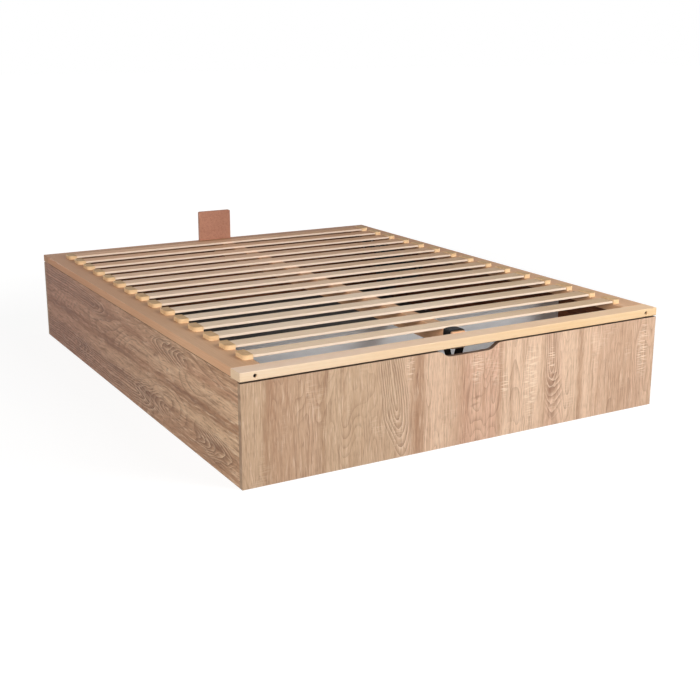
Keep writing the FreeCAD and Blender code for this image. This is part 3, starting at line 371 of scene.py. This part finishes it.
def oakPrint(name, across, along, oak, seed, look=oakLook):
    finish = Finish(name + "_oak", {"Specular IOR Level": look["gloss"]})
    band, paint, relief = look["band"], look["paint"], look["relief"]
    place = finish.place()
    u, v = place[across], place[along]
    low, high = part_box(name)
    # the grain wavers: u is pushed aside by a slow noise and a quick one, both long along the boards
    swirl = oakNoise(finish, "swirl", u, v, seed, look) - 0.5
    curl = oakNoise(finish, "curl", u, v, seed, look) - 0.5
    wander = u + swirl * look["waver"] + curl * look["curl"]
    # boards and blush: shade and hue by the place across
    width = high[across] - low[across]
    span = (wander - low[across]) / width
    ramps = []
    for key in ("boards", "blush"):
        stops = [((edge - low[across]) / width, tone) for edge, tone in oak[key]]
        ramps.append(finish.node("ShaderNodeValToRGB", {"stops": stops}, {"Fac": span}))
    shade, blush = ramps
    worn = finish.step(oakNoise(finish, "worn", u, v, seed, look), *band["worn"])
    late, early = oakRings(finish, u, v, swirl, curl, worn, oak, look)
    tick, knot = oakMarks(finish, u, v, curl, seed, oak, look)
    # fibres, lines, streaks and pores: noises stretched along the boards
    fine, strong = oak["fineness"], oak["contrast"]
    fibre = oakNoise(finish, "fibre", wander, v, seed, look, fine)
    line = oakNoise(finish, "line", wander, v, seed, look, fine)
    streak = oakNoise(finish, "streak", wander, v, seed, look, fine)
    pore = finish.step(oakNoise(finish, "pore", wander, v, 0.0, look, fine), *band["pore"])
    # growth lines: contours of a slow noise, sharp on one flank, that come and go
    field = oakNoise(finish, "growth", wander, v, seed, look, fine)
    growth = (field * look["growthLines"]).math("FRACT") ** look["growthEdge"]
    growth = growth * finish.step(oakNoise(finish, "fade", u, v, seed, look), *band["fade"])
    hue = blush + (oakNoise(finish, "hue", wander, v, seed, look) - 0.5) * look["hueSpread"]
    tone = finish.mix(shade, look["dark"], look["light"])
    # layers from the ground up: how much of each lies where, and its colour
    layers = (
        (finish.step(hue, *band["pink"]) * paint["pink"], "pink"),
        ((1 - finish.step(hue, *band["grey"])) * paint["grey"], "grey"),
        (finish.step(streak, *band["streak"]) * paint["streak"], "dark"),
        (finish.step(line, *band["line"]) * (paint["line"] * strong), "line"),
        (growth * (paint["growth"] * strong), "line"),
        (finish.step(fibre, *band["fibre"]) * (paint["fibre"] * strong), "line"),
        ((1 - finish.step(fibre, *band["flake"])) * (paint["flake"] * strong), "tick"),
        (late * (paint["late"] * strong), "line"),
        (early * (paint["early"] * strong), "tick"),
        (knot * (paint["knot"] * strong), "line"),
        (pore * (paint["pore"] * strong), "pore"),
        (tick * paint["tick"], "tick"),
    )
    for cover, colour in layers:
        tone = finish.mix(cover, tone, look[colour])
    # drift: the print's tint changes slowly from one end to the other; on the side panels the darker, redder
    # head end is partly painted shade for the light falling off
    tone = finish.tinted(tone, finish.mix(finish.step(v, low[along], high[along]), *oak["drift"]))
    # edging: a dark line along the panel's outline, by the distance to its nearest edge
    nearU = (u - low[across]).math("MINIMUM", high[across] - u)
    nearV = (v - low[along]).math("MINIMUM", high[along] - v)
    inside = finish.step(nearU.math("MINIMUM", nearV), 0.0, look["edgeWidth"])
    tone = finish.mix((1 - inside) * paint["edge"], tone, look["edge"])
    # painted shade: the narrow top edge, in the gap under the frame, takes the dark edging colour, and the
    # inner face, which looks to the bed's middle, is darkened for the shade inside the box
    facing = finish.facing()
    tone = finish.mix(finish.step(facing[axisZ], *band["top"]) * paint["top"], tone, look["edge"])
    through = axisX + axisY + axisZ - across - along
    inner = finish.step(facing[through] * place[through], *band["inner"])
    tone = finish.mix(inner, tone, look["inner"], "MULTIPLY")
    rough = look["rough"] + fibre * look["fibreRough"]
    height = fibre * relief["fibre"] - pore * relief["pore"]
    height = height - late * relief["late"] + tick * relief["tick"]
    return finish.wear(tone, rough, height, look["bumpDepth"])


for oak, across, along in ((endOak, axisX, axisZ), (sideOak, axisZ, axisY)):
    for name, seed in oak["seeds"].items():
        dress(oakPrint(name, across, along, oak, seed), name)
print("panels: oak print on 4")


# Lift frame timber: planed pine, sawn from outside the pith

pineLook = {
    "light": tint(235, 190, 152), "dark": tint(214, 164, 124), "fibre": tint(184, 132, 96),
    # painted shade: the top tint darkens the upward faces, and the drift's darker far end is partly painted
    # shade
    "knot": tint(92, 58, 36), "top": tint(222, 222, 220),
    "drift": (tint(255, 255, 255), tint(246, 231, 222)), "driftSpan": (-0.7, 0.8),
    "gloss": 0.3, "rough": 0.52, "fibreRough": 0.14, "bumpDepth": 0.0002,
    # the pith: how far beside the timber's middle and how high it lies, its lean, its waver across and up
    "aside": 0.055, "height": 0.26, "lean": 0.012, "waver": (0.035, 0.02),
    "ringPitch": 0.006, "lateEdge": 2.5,
    # noise: lumps per metre along, across and up, then detail and roughness
    "noise": {
        "waver": ((1.4, 4, 4), 2.0, 0.5), "fibre": ((10, 420, 420), 3.0, 0.6),
        "blotch": ((2.6, 12, 12), 2.0, 0.5),
    },
    "band": {
        "blotch": (0.3, 0.75), "fibre": (0.5, 0.75), "halo": (0.8, 2.6), "core": (0.5, 1.1),
        "top": (0.6, 0.9),
    },
    "paint": {"blotch": 0.5, "late": 0.35, "fibre": 0.3, "halo": 0.35, "core": 0.85},
    "relief": {"fibre": 0.6, "late": 0.25}, "knotStretch": 1.5,
}
footPineLook = dict(
    pineLook, light=tint(253, 232, 200), dark=tint(247, 214, 168), fibre=tint(230, 190, 146),
    top=tint(241, 238, 246), drift=(tint(250, 248, 252), tint(238, 226, 210)),
)
# painted shade: the head rail's timber is darker all over for the shade on its face towards the foot, with a
# paler top tint that keeps its top; its darker right end is partly painted shade
headPineShadeLook = dict(
    pineLook, light=tint(204, 160, 126), dark=tint(184, 138, 104), fibre=tint(156, 110, 80),
    top=tint(246, 244, 244), drift=(tint(255, 250, 246), tint(228, 220, 216)),
)
# painted shade: the centre rail's top is darkened for the shade of the slats over it
corePineShadeLook = dict(pineLook, top=tint(196, 196, 192))


def pineTimber(name, across, along, offset, knots=(), look=pineLook):
    finish = Finish(name, {"Specular IOR Level": look["gloss"]})
    noise, band, paint = look["noise"], look["band"], look["paint"]
    place = finish.place()
    u, v, z = place[across], place[along], place[axisZ]
    # the timbers of a pair mirror each other, so the distance from the bed's middle gives the place across
    local = u.math("ABSOLUTE") - offset
    waver = finish.cloud((v, u, z), *noise["waver"]) - 0.5
    # rings: distance from a pith line beside the timber, which leans and wavers along it
    waverU, waverZ = look["waver"]
    aside = local + look["aside"] + v * look["lean"] + waver * waverU
    below = z - look["height"] + waver * waverZ
    late = (length(aside, below) / look["ringPitch"]).math("FRACT") ** look["lateEdge"]
    fibre = finish.cloud((v, u, z), *noise["fibre"])
    blotch = finish.cloud((v, u, z), *noise["blotch"])
    tone = finish.mix(finish.step(blotch, *band["blotch"]) * paint["blotch"], look["light"], look["dark"])
    tone = finish.mix(late * paint["late"], tone, look["dark"])
    tone = finish.mix(finish.step(fibre, *band["fibre"]) * paint["fibre"], tone, look["fibre"])
    for knotU, knotV, radius in knots:
        # knot: a long oval, dark in the middle, in a warm halo
        apart = length((u - knotU) / radius, (v - knotV) / (radius * look["knotStretch"]))
        tone = finish.mix((1 - finish.step(apart, *band["halo"])) * paint["halo"], tone, look["fibre"])
        tone = finish.mix((1 - finish.step(apart, *band["core"])) * paint["core"], tone, look["knot"])
    # painted shade: the top is darkened against the planed faces; the tint drifts along the timber, and on
    # the side and head rails its darker far end is partly painted shade
    shadedTop = finish.step(finish.facing()[axisZ], *band["top"])
    tone = finish.mix(shadedTop, tone, finish.tinted(tone, look["top"]))
    tone = finish.tinted(tone, finish.mix(finish.step(v, *look["driftSpan"]), *look["drift"]))
    rough = look["rough"] + fibre * look["fibreRough"]
    height = fibre * look["relief"]["fibre"] - late * look["relief"]["late"]
    return finish.wear(tone, rough, height, look["bumpDepth"])


# knots of the side rails: place across and along, radius
railKnots = [(0.708, -0.755, 0.006), (0.713, -0.515, 0.005), (0.673, -0.632, 0.004)]
sideOffset = middleOf("right_side_rail", axisX)
endOffset = middleOf("head_rail", axisY)
# a timber's material, its axes across and along, its place from the bed's middle, knots, look and pieces
timbers = (
    ("side_rail_pine", axisX, axisY, sideOffset, railKnots, pineLook, ("left_side_rail", "right_side_rail")),
    ("foot_rail_pine", axisY, axisX, endOffset, (), footPineLook, ("foot_rail",)),
    ("head_rail_pine", axisY, axisX, endOffset, (), headPineShadeLook, ("head_rail",)),
    ("centre_rail_pine", axisX, axisY, 0.0, (), corePineShadeLook, ("centre_rail",)),
    ("bearer_pine", axisY, axisX, 0.3, (), pineLook, ("rear_cross_bearer",)),
    ("side_batten_pine", axisX, axisY, 0.72, (), pineLook, ("left_floor_batten", "right_floor_batten")),
    ("end_batten_pine", axisY, axisX, 0.92, (), pineLook, ("foot_floor_batten", "head_floor_batten")),
)
for *timber, pieces in timbers:
    dress(pineTimber(*timber), *pieces)
print("timber: pine on rails, bearers and battens")


# Slats: sawn softwood, each from another part of the tree

slatNames = sorted(name for name in nodes if name.startswith("slat_") and name[-1].isdigit())
slatLook = {
    "light": tint(246, 222, 201), "dark": tint(214, 181, 152), "warm": tint(236, 205, 177),
    # painted highlight: the pale edge colour, laid on the narrow edges for the light they catch
    "fibre": tint(188, 148, 114), "edge": tint(255, 236, 217),
    # painted shade: the foot, head and right tints darken the row towards the head and to the right, for the
    # light falling off
    "foot": tint(248, 255, 255), "head": tint(244, 222, 204), "right": tint(218, 208, 194),
    "gloss": 0.3, "rough": 0.55, "fibreRough": 0.15, "bumpDepth": 0.00025,
    # the pith: how far it lies aside at most, its lean, its height and how that spreads, its waver
    "aside": 0.08, "lean": 0.03, "height": 0.32, "spread": 0.02, "waver": (0.03, 0.02),
    "ringPitch": 0.0055, "lateEdge": 2.5, "firstThrow": 2.0,
    # noise: lumps per unit of the three values it reads, then detail and roughness
    "noise": {
        "waver": ((1.6, 7.3, 4), 2.0, 0.5), "fibre": ((9, 460, 460), 3.0, 0.6),
        "blotch": ((3, 14, 3.1), 2.0, 0.5),
    },
    "band": {
        "blotch": (0.4, 0.8), "fibre": (0.5, 0.75), "row": (-0.6, 0.8), "right": (-0.1, 0.6),
        "edge": (0.6, 0.9),
    },
    "paint": {"blotch": 0.45, "late": 0.4, "fibre": 0.35, "edge": 0.8},
    "relief": {"fibre": 0.6, "late": 0.3},
}


def slatTimber(look=slatLook):
    finish = Finish("slat_softwood", {"Specular IOR Level": look["gloss"]})
    noise, band, paint = look["noise"], look["band"], look["paint"]
    x, y, z = finish.place()
    first, last = middleOf(slatNames[0], axisY), middleOf(slatNames[-1], axisY)
    pitch = (last - first) / (len(slatNames) - 1)
    # slat number: the nearest whole pitch from the first slat
    lane = (y - first) / pitch + 0.5
    number = lane.math("FLOOR")
    local = (lane.math("FRACT") - 0.5) * pitch
    throwA, throwB, throwC = finish.dice(number + look["firstThrow"])
    waver = finish.cloud((x, number, z), *noise["waver"]) - 0.5
    # rings: distance from a pith line that lies somewhere below each slat and leans along it
    waverY, waverZ = look["waver"]
    lean = (x - throwC + 0.5) * look["lean"] * (throwB - 0.5)
    aside = local + (throwA - 0.5) * look["aside"] + lean + waver * waverY
    below = z - look["height"] + throwB * look["spread"] + waver * waverZ
    late = (length(aside, below) / look["ringPitch"]).math("FRACT") ** look["lateEdge"]
    fibre = finish.cloud((x, y, z), *noise["fibre"])
    blotch = finish.cloud((x, y, number), *noise["blotch"])
    tone = finish.mix(throwC, look["light"], look["warm"])
    tone = finish.mix(finish.step(blotch, *band["blotch"]) * paint["blotch"], tone, look["dark"])
    tone = finish.mix(late * paint["late"], tone, look["dark"])
    tone = finish.mix(finish.step(fibre, *band["fibre"]) * paint["fibre"], tone, look["fibre"])
    # painted shade: the row is tinted warmer and darker towards the head, and darker to the right, for the
    # light falling off
    tone = finish.tinted(tone, finish.mix(finish.step(y, *band["row"]), look["foot"], look["head"]))
    tone = finish.mix(finish.step(x, *band["right"]), tone, finish.tinted(tone, look["right"]))
    # painted highlight: the narrow edges are paler than the faces, for the light they catch
    edgeHighlight = finish.step(finish.facing()[axisY].math("ABSOLUTE"), *band["edge"])
    tone = finish.mix(edgeHighlight * paint["edge"], tone, look["edge"])
    rough = look["rough"] + fibre * look["fibreRough"]
    height = fibre * look["relief"]["fibre"] - late * look["relief"]["late"]
    return finish.wear(tone, rough, height, look["bumpDepth"])


dress(slatTimber(), *slatNames)
print("slats:", len(slatNames))


# Storage floor, tall cross bearer and mattress stop: boards of pressed fibre

boardLooks = {
    "pale": {"base": tint(250, 251, 253), "speck": tint(240, 241, 243), "strength": 0.4, "rough": 0.38},
    "dark": {"base": tint(76, 74, 70), "speck": tint(50, 48, 45), "strength": 0.7, "rough": 0.6},
    "stop": {"base": tint(190, 136, 112), "speck": tint(150, 100, 80), "strength": 0.6, "rough": 0.6},
    "all": {
        "gloss": 0.35, "speckRough": 0.12, "bumpDepth": 0.0001, "fineShare": 0.6, "driftPaint": 0.35,
        "fine": ((520, 520, 520), 3.0, 0.65), "coarse": ((130, 130, 130), 2.0), "drift": ((5, 5, 5), 2.0),
        "speckBand": (0.42, 0.66), "driftBand": (0.35, 0.75),
    },
}


def fibreboard(name, look, common=boardLooks["all"]):
    finish = Finish(name, {"Specular IOR Level": common["gloss"]})
    place = finish.place()
    # specks: short fibres with no direction, at two scales, on a slow drift of tone
    fine = finish.cloud(place, *common["fine"])
    coarse = finish.cloud(place, *common["coarse"])
    drift = finish.cloud(place, *common["drift"])
    share = common["fineShare"]
    speck = finish.step(fine * share + coarse * (1 - share), *common["speckBand"])
    tone = finish.mix(speck * look["strength"], look["base"], look["speck"])
    tone = finish.mix(finish.step(drift, *common["driftBand"]) * common["driftPaint"], tone, look["speck"])
    return finish.wear(tone, look["rough"] + speck * common["speckRough"], fine, common["bumpDepth"])


dress(fibreboard("pale_board", boardLooks["pale"]), "front_cross_bearer")
floorBoards = ("floor_board_front", "floor_board_middle", "floor_board_rear")
dress(fibreboard("floor_dark_board", boardLooks["dark"]), *floorBoards)
dress(fibreboard("stop_board", boardLooks["stop"]), "mattress_stop")
print("boards: floor, cross bearer and stop")


# Slat holders: moulded beige plastic

holderLook = {
    # painted shade: the top tint darkens the tops
    "base": tint(242, 210, 166), "shade": tint(216, 178, 132), "top": tint(206, 196, 184),
    "gloss": 0.2, "rough": 0.5, "pebbleRough": 0.16, "bumpDepth": 0.00012,
    "pebble": (900, 900, 900), "flow": (40, 40, 90), "flowBand": (0.35, 0.7), "flowPaint": 0.6,
    "topBand": (0.5, 0.9),
}


def holderPlastic(look=holderLook):
    finish = Finish("holder_plastic", {"Specular IOR Level": look["gloss"]})
    place = finish.place()
    # moulded grain: a fine pebble; flow: a slow drift where the plastic ran in
    pebble = finish.cloud(place, look["pebble"])
    flow = finish.cloud(place, look["flow"])
    ran = finish.step(flow, *look["flowBand"])
    tone = finish.mix(ran * look["flowPaint"], look["base"], look["shade"])
    # painted shade: the tops are darkened
    shadedTop = finish.step(finish.facing()[axisZ], *look["topBand"])
    tone = finish.mix(shadedTop, tone, finish.tinted(tone, look["top"]))
    return finish.wear(tone, look["rough"] + pebble * look["pebbleRough"], pebble, look["bumpDepth"])


dress(holderPlastic(), "slat_holders")
print("holders: moulded plastic")


# Metal: powder-coated hinges, lacquered spring tubes, zinc-plated small parts

metalLooks = {
    "paint": {
        "base": tint(46, 46, 48), "rub": tint(78, 78, 80), "metal": 0.0, "rough": 0.5, "grain": 700,
    },
    "lacquer": {
        "base": tint(30, 30, 32), "rub": tint(52, 52, 55), "metal": 0.0, "rough": 0.25, "grain": 90,
    },
    "black": {
        "base": tint(58, 56, 54), "rub": tint(110, 106, 100), "metal": 1.0, "rough": 0.28, "grain": 160,
    },
    "zinc": {
        "base": tint(196, 196, 192), "rub": tint(160, 158, 150), "metal": 1.0, "rough": 0.3, "grain": 160,
    },
    "all": {
        "rubNoise": ((30, 30, 30), 3.0, 0.6), "rubBand": (0.5, 0.75), "rubPaint": 0.5, "rubRough": 0.15,
        "grainRough": 0.08, "bumpDepth": 0.00008,
    },
}


def metal(name, look, common=metalLooks["all"]):
    finish = Finish(name, {"Metallic": look["metal"]})
    place = finish.place()
    # orange peel of the coat, and slow rubbed patches that are duller and lighter
    grain = finish.cloud(place, (look["grain"],) * 3)
    rub = finish.step(finish.cloud(place, *common["rubNoise"]), *common["rubBand"])
    tone = finish.mix(rub * common["rubPaint"], look["base"], look["rub"])
    rough = look["rough"] + rub * common["rubRough"] + grain * common["grainRough"]
    return finish.wear(tone, rough, grain, common["bumpDepth"])


hingePaint = metal("hinge_paint", metalLooks["paint"])
springLacquer = metal("spring_lacquer", metalLooks["lacquer"])
zincPlate = metal("zinc_plate", metalLooks["zinc"])
for side in ("left_", "right_"):
    dress(hingePaint, side + "base_plate", side + "lift_bracket", side + "rear_arm", side + "front_arm")
    dress(springLacquer, side + "gas_cylinder")
    dress(zincPlate, side + "gas_rod")
dress(zincPlate, "cam_discs", "cam_dowels", "batten_screws", "base_plate_screws", "base_pivot_rivets",
      "lower_strut_studs", "upper_strut_studs", "barrel_nuts", "centre_rail_angles", "frame_screws",
      "bracket_pivot_rivets")
dress(metal("black_zinc", metalLooks["black"]), "frame_bolts")
print("metal: hinges, springs, fittings")


# Pull strap: a loop of black webbing round the centre rail

strapLook = {
    "thickness": 0.0022, "slack": 0.0017, "crown": 0.003, "gripRadius": 0.0102, "softness": 9,
    "archSteps": 80, "gripSteps": 60, "ringSteps": 320, "sectionSteps": 28, "squareness": (0.25, 0.66),
    # painted shade and highlight: the darkest colour lies in the weave's hollows, the paler edge colour
    # along the edges
    "yarn": tint(14, 14, 15), "hollowShade": tint(6, 6, 7), "selvedgeHighlight": tint(26, 26, 28),
    "pickPitch": 0.0021, "ribCount": 15, "ribLag": 0.5, "fuzz": (90, 900, 1.0), "edgeBand": (0.44, 0.47),
    "edgePaint": 0.6, "gloss": 0.25, "rough": 0.62, "fuzzRough": 0.2, "fuzzRelief": 0.3, "bumpDepth": 0.0005,
}


def surfaceMesh(name, grid, uvU, uvV):
    # a grid of points closed both ways; corner (i, j) meets (i + 1, j), (i + 1, j + 1) and (i, j + 1)
    rows, columns = grid.shape[:2]
    i, j = np.meshgrid(np.arange(rows), np.arange(columns), indexing="ij")
    iNext, jNext = (i + 1) % rows, (j + 1) % columns
    here, ahead = i * columns, iNext * columns
    faces = np.stack([here + j, ahead + j, ahead + jNext, here + jNext], -1)
    mesh = bpy.data.meshes.new(name)
    mesh.from_pydata(grid.reshape(-1, 3), [], faces.reshape(-1, 4).tolist())
    corners = np.stack([np.stack([uvU[j], uvV[i]], -1), np.stack([uvU[j], uvV[i + 1]], -1),
                        np.stack([uvU[j + 1], uvV[i + 1]], -1), np.stack([uvU[j + 1], uvV[i]], -1)], -2)
    layer = mesh.uv_layers.new(name="weave")
    layer.data.foreach_set("uv", corners.astype(np.float32).ravel())
    mesh.polygons.foreach_set("use_smooth", np.ones(rows * columns, bool))
    mesh.update()
    piece = bpy.data.objects.new(name, mesh)
    scene.collection.objects.link(piece)
    return piece


def strapPath(look):
    # loop in the X-Z plane: an arch over the rail, two straight legs that close on a round grip
    railLow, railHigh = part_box("centre_rail")
    low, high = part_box("pull_strap")
    side = railHigh.x + look["slack"]
    crown = high.z - look["thickness"] / 2
    grip = look["gripRadius"]
    centre = low.z + look["thickness"] / 2 + grip
    reach = math.hypot(side, railLow.z - centre)
    # the leg touches the grip circle at this angle
    lean = math.atan2(railLow.z - centre, side) - math.acos(grip / reach)
    bow = (side ** 2 + look["crown"] ** 2) / (2 * look["crown"])
    sweep = math.asin(side / bow)
    turn = np.linspace(-sweep, sweep, look["archSteps"])
    arch = np.stack([bow * np.sin(turn), crown - bow + bow * np.cos(turn)], -1)
    gripTurn = np.linspace(lean, -math.pi - lean, look["gripSteps"])
    bottom = np.stack([grip * np.cos(gripTurn), centre + grip * np.sin(gripTurn)], -1)
    corners = np.array([[side, railLow.z]])
    loop = np.concatenate([arch, corners, bottom, corners * [-1, 1], arch[:1]])
    # even steps along the loop, then a moving average that rounds the corners as webbing does
    lengths = np.concatenate([[0], np.cumsum(np.linalg.norm(np.diff(loop, axis=0), axis=1))])
    at = np.linspace(0, lengths[-1], look["ringSteps"], endpoint=False)
    even = np.stack([np.interp(at, lengths, loop[:, k]) for k in (0, 1)], -1)
    shifts = range(-look["softness"] // 2, look["softness"] // 2 + 1)
    return np.mean([np.roll(even, shift, 0) for shift in shifts], 0), lengths[-1]


def webbing(look=strapLook):
    finish = Finish("strap_webbing", {"Specular IOR Level": look["gloss"]})
    u, v = finish.parts(finish.node("ShaderNodeUVMap", {"uv_map": "weave"}, {}))[:2]
    # ribs across the width and picks along the length, each second rib half a pick behind
    rib = u * look["ribCount"]
    lag = (rib.math("FLOOR") * look["ribLag"]).math("FRACT")
    hump = (rib.math("FRACT") * math.pi).math("SINE")
    pick = ((v / look["pickPitch"] + lag).math("FRACT") * math.pi).math("SINE")
    weave = hump * pick
    fuzz = finish.cloud((u, v, 0.0), look["fuzz"])
    edge = finish.step((u - 0.5).math("ABSOLUTE"), *look["edgeBand"])
    # painted shade: the weave's hollows take the darkest colour
    tone = finish.mix(weave, look["hollowShade"], look["yarn"])
    # painted highlight: the edges take the paler colour
    tone = finish.mix(edge * look["edgePaint"], tone, look["selvedgeHighlight"])
    rough = look["rough"] + fuzz * look["fuzzRough"]
    return finish.wear(tone, rough, weave + fuzz * look["fuzzRelief"], look["bumpDepth"])


def pullStrap(look=strapLook):
    low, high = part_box("pull_strap")
    width = high.y - low.y
    path, loopLength = strapPath(look)
    ahead = np.roll(path, -1, 0) - np.roll(path, 1, 0)
    ahead /= np.linalg.norm(ahead, axis=1, keepdims=True)
    outward = np.stack([-ahead[:, 1], ahead[:, 0]], -1)
    # section: a flat superellipse, about |a|^8 + |b|^3 = 1, wide along Y and thin along the outward normal
    turn = np.linspace(0, 2 * math.pi, look["sectionSteps"], endpoint=False)
    powerAcross, powerThrough = look["squareness"]
    across = np.sign(np.cos(turn)) * np.abs(np.cos(turn)) ** powerAcross * width / 2
    through = np.sign(np.sin(turn)) * np.abs(np.sin(turn)) ** powerThrough * look["thickness"] / 2
    grid = np.empty((len(path), len(turn), 3))
    grid[..., 0] = path[:, None, 0] + outward[:, None, 0] * through
    grid[..., 1] = (low.y + high.y) / 2 + across
    grid[..., 2] = path[:, None, 1] + outward[:, None, 1] * through
    uvU = (np.append(across, across[0]) + width / 2) / width
    uvV = np.linspace(0, loopLength, len(path) + 1)
    strap = surfaceMesh("strap_loop", grid, uvU, uvV)
    strap.data.materials.append(webbing(look))
    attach(strap, "lift_frame")
    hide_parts("pull_strap")


pullStrap()
print("strap: webbing loop")


# Floor, light and camera

stageLook = {
    "floorSize": 60.0, "floorColour": (0.2, 0.2, 0.2, 1.0), "glowNear": 0.88, "glowFar": 1.0,
    "glowFrom": 1.8, "glowTo": 4.5, "sky": (1.0, 1.0, 1.0, 1.0), "ambient": 0.12,
    "lamps": {
        "near": {"at": (1.5, -3.0, 1.9), "aim": (0.3, -0.9, 0.3), "size": 1.4, "watts": 60,
                 "tone": (1.0, 1.0, 1.0)},
        "high": {"at": (1.2, -3.6, 3.2), "aim": (0.1, -0.7, 0.3), "size": 1.8, "watts": 52,
                 "tone": (1.0, 1.0, 1.0)},
        "left": {"at": (-4.6, -3.6, 1.9), "aim": (-0.7, -0.7, 0.2), "size": 2.6, "watts": 180,
                 "tone": (1.0, 0.92, 0.85)},
        # two low fills for the sides that the photo doesn't show
        "head": {"at": (-0.6, 5.0, 0.5), "aim": (0.0, 0.95, 0.2), "size": 0.9, "watts": 95,
                 "tone": (1.0, 0.98, 0.95)},
        "right": {"at": (5.0, -0.1, 0.5), "aim": (0.75, 0.0, 0.2), "size": 0.9, "watts": 105,
                  "tone": (1.0, 0.98, 0.95)},
    },
}


def stageFloor(look=stageLook):
    half = look["floorSize"] / 2
    mesh = bpy.data.meshes.new("stage_floor")
    corners = [(-half, -half, 0), (half, -half, 0), (half, half, 0), (-half, half, 0)]
    mesh.from_pydata(corners, [], [(0, 1, 2, 3)])
    floor = bpy.data.objects.new("stage_floor", mesh)
    scene.collection.objects.link(floor)
    material = bpy.data.materials.new("stage_floor")
    material.use_nodes = True
    tree = material.node_tree
    tree.nodes.remove(tree.nodes["Principled BSDF"])
    sheet = Sheet(tree)
    diffuse = sheet.node("ShaderNodeBsdfDiffuse", {}, {"Color": look["floorColour"]})
    # the glow grows with the distance from the bed, so that the floor out of the lamps' reach stays white
    point = sheet.node("ShaderNodeTexCoord", {}, {}, "Object")
    away = sheet.node("ShaderNodeVectorMath", {"operation": "LENGTH"}, {0: point}, "Value")
    span = {"From Min": look["glowFrom"], "From Max": look["glowTo"]}
    glow = {"To Min": look["glowNear"], "To Max": look["glowFar"]}
    rise = sheet.node("ShaderNodeMapRange", {}, {"Value": away, **span, **glow})
    light = sheet.node("ShaderNodeEmission", {}, {"Strength": sheet.seenRay() * rise})
    total = sheet.node("ShaderNodeAddShader", {}, {0: diffuse, 1: light})
    sheet.plug(tree.nodes["Material Output"].inputs["Surface"], total)
    mesh.materials.append(material)


def stageWorld(look=stageLook):
    world = bpy.data.worlds.new("studio")
    scene.world = world
    world.use_nodes = True
    sheet = Sheet(world.node_tree)
    background = world.node_tree.nodes["Background"]
    background.inputs["Color"].default_value = look["sky"]
    # white where it is seen, and dim as a light
    sockets = {"Value": sheet.seenRay(), "To Min": look["ambient"], "To Max": 1.0}
    sheet.plug(background.inputs["Strength"], sheet.node("ShaderNodeMapRange", {}, sockets))


def stageLamps(look=stageLook):
    for name, lamp in look["lamps"].items():
        data = bpy.data.lights.new(name, "AREA")
        data.shape = "DISK"
        data.size = lamp["size"]
        data.energy = lamp["watts"]
        data.color = lamp["tone"]
        item = bpy.data.objects.new(name, data)
        scene.collection.objects.link(item)
        item.location = lamp["at"]
        ray = Vector(lamp["aim"]) - Vector(lamp["at"])
        item.rotation_euler = ray.to_track_quat("-Z", "Y").to_euler()


# the picture's size in pixels, its optical axis and focal length, and where the eye stands
cameraLook = {
    "picture": 700, "axisPixel": (340, 330), "focalPixels": 1128.15, "sensor": 36.0,
    "eye": (-1.9310, -3.5662, 1.2064), "azimuth": 29.6, "dip": 14.78,
}


def setCamera(look=cameraLook):
    data = bpy.data.cameras.new("camera")
    data.sensor_width = look["sensor"]
    data.lens = look["sensor"] * look["focalPixels"] / look["picture"]
    middle = look["picture"] / 2
    data.shift_x = (middle - look["axisPixel"][0]) / look["picture"]
    data.shift_y = (look["axisPixel"][1] - middle) / look["picture"]
    item = bpy.data.objects.new("camera", data)
    scene.collection.objects.link(item)
    azimuth, dip = math.radians(look["azimuth"]), math.radians(look["dip"])
    ahead = Vector((math.sin(azimuth) * math.cos(dip), math.cos(azimuth) * math.cos(dip), -math.sin(dip)))
    item.location = look["eye"]
    item.rotation_euler = ahead.to_track_quat("-Z", "Y").to_euler()
    scene.camera = item


stageFloor()
stageWorld()
stageLamps()
setCamera()
scene.view_settings.view_transform = "Standard"
print("stage: floor, world, lamps, camera")
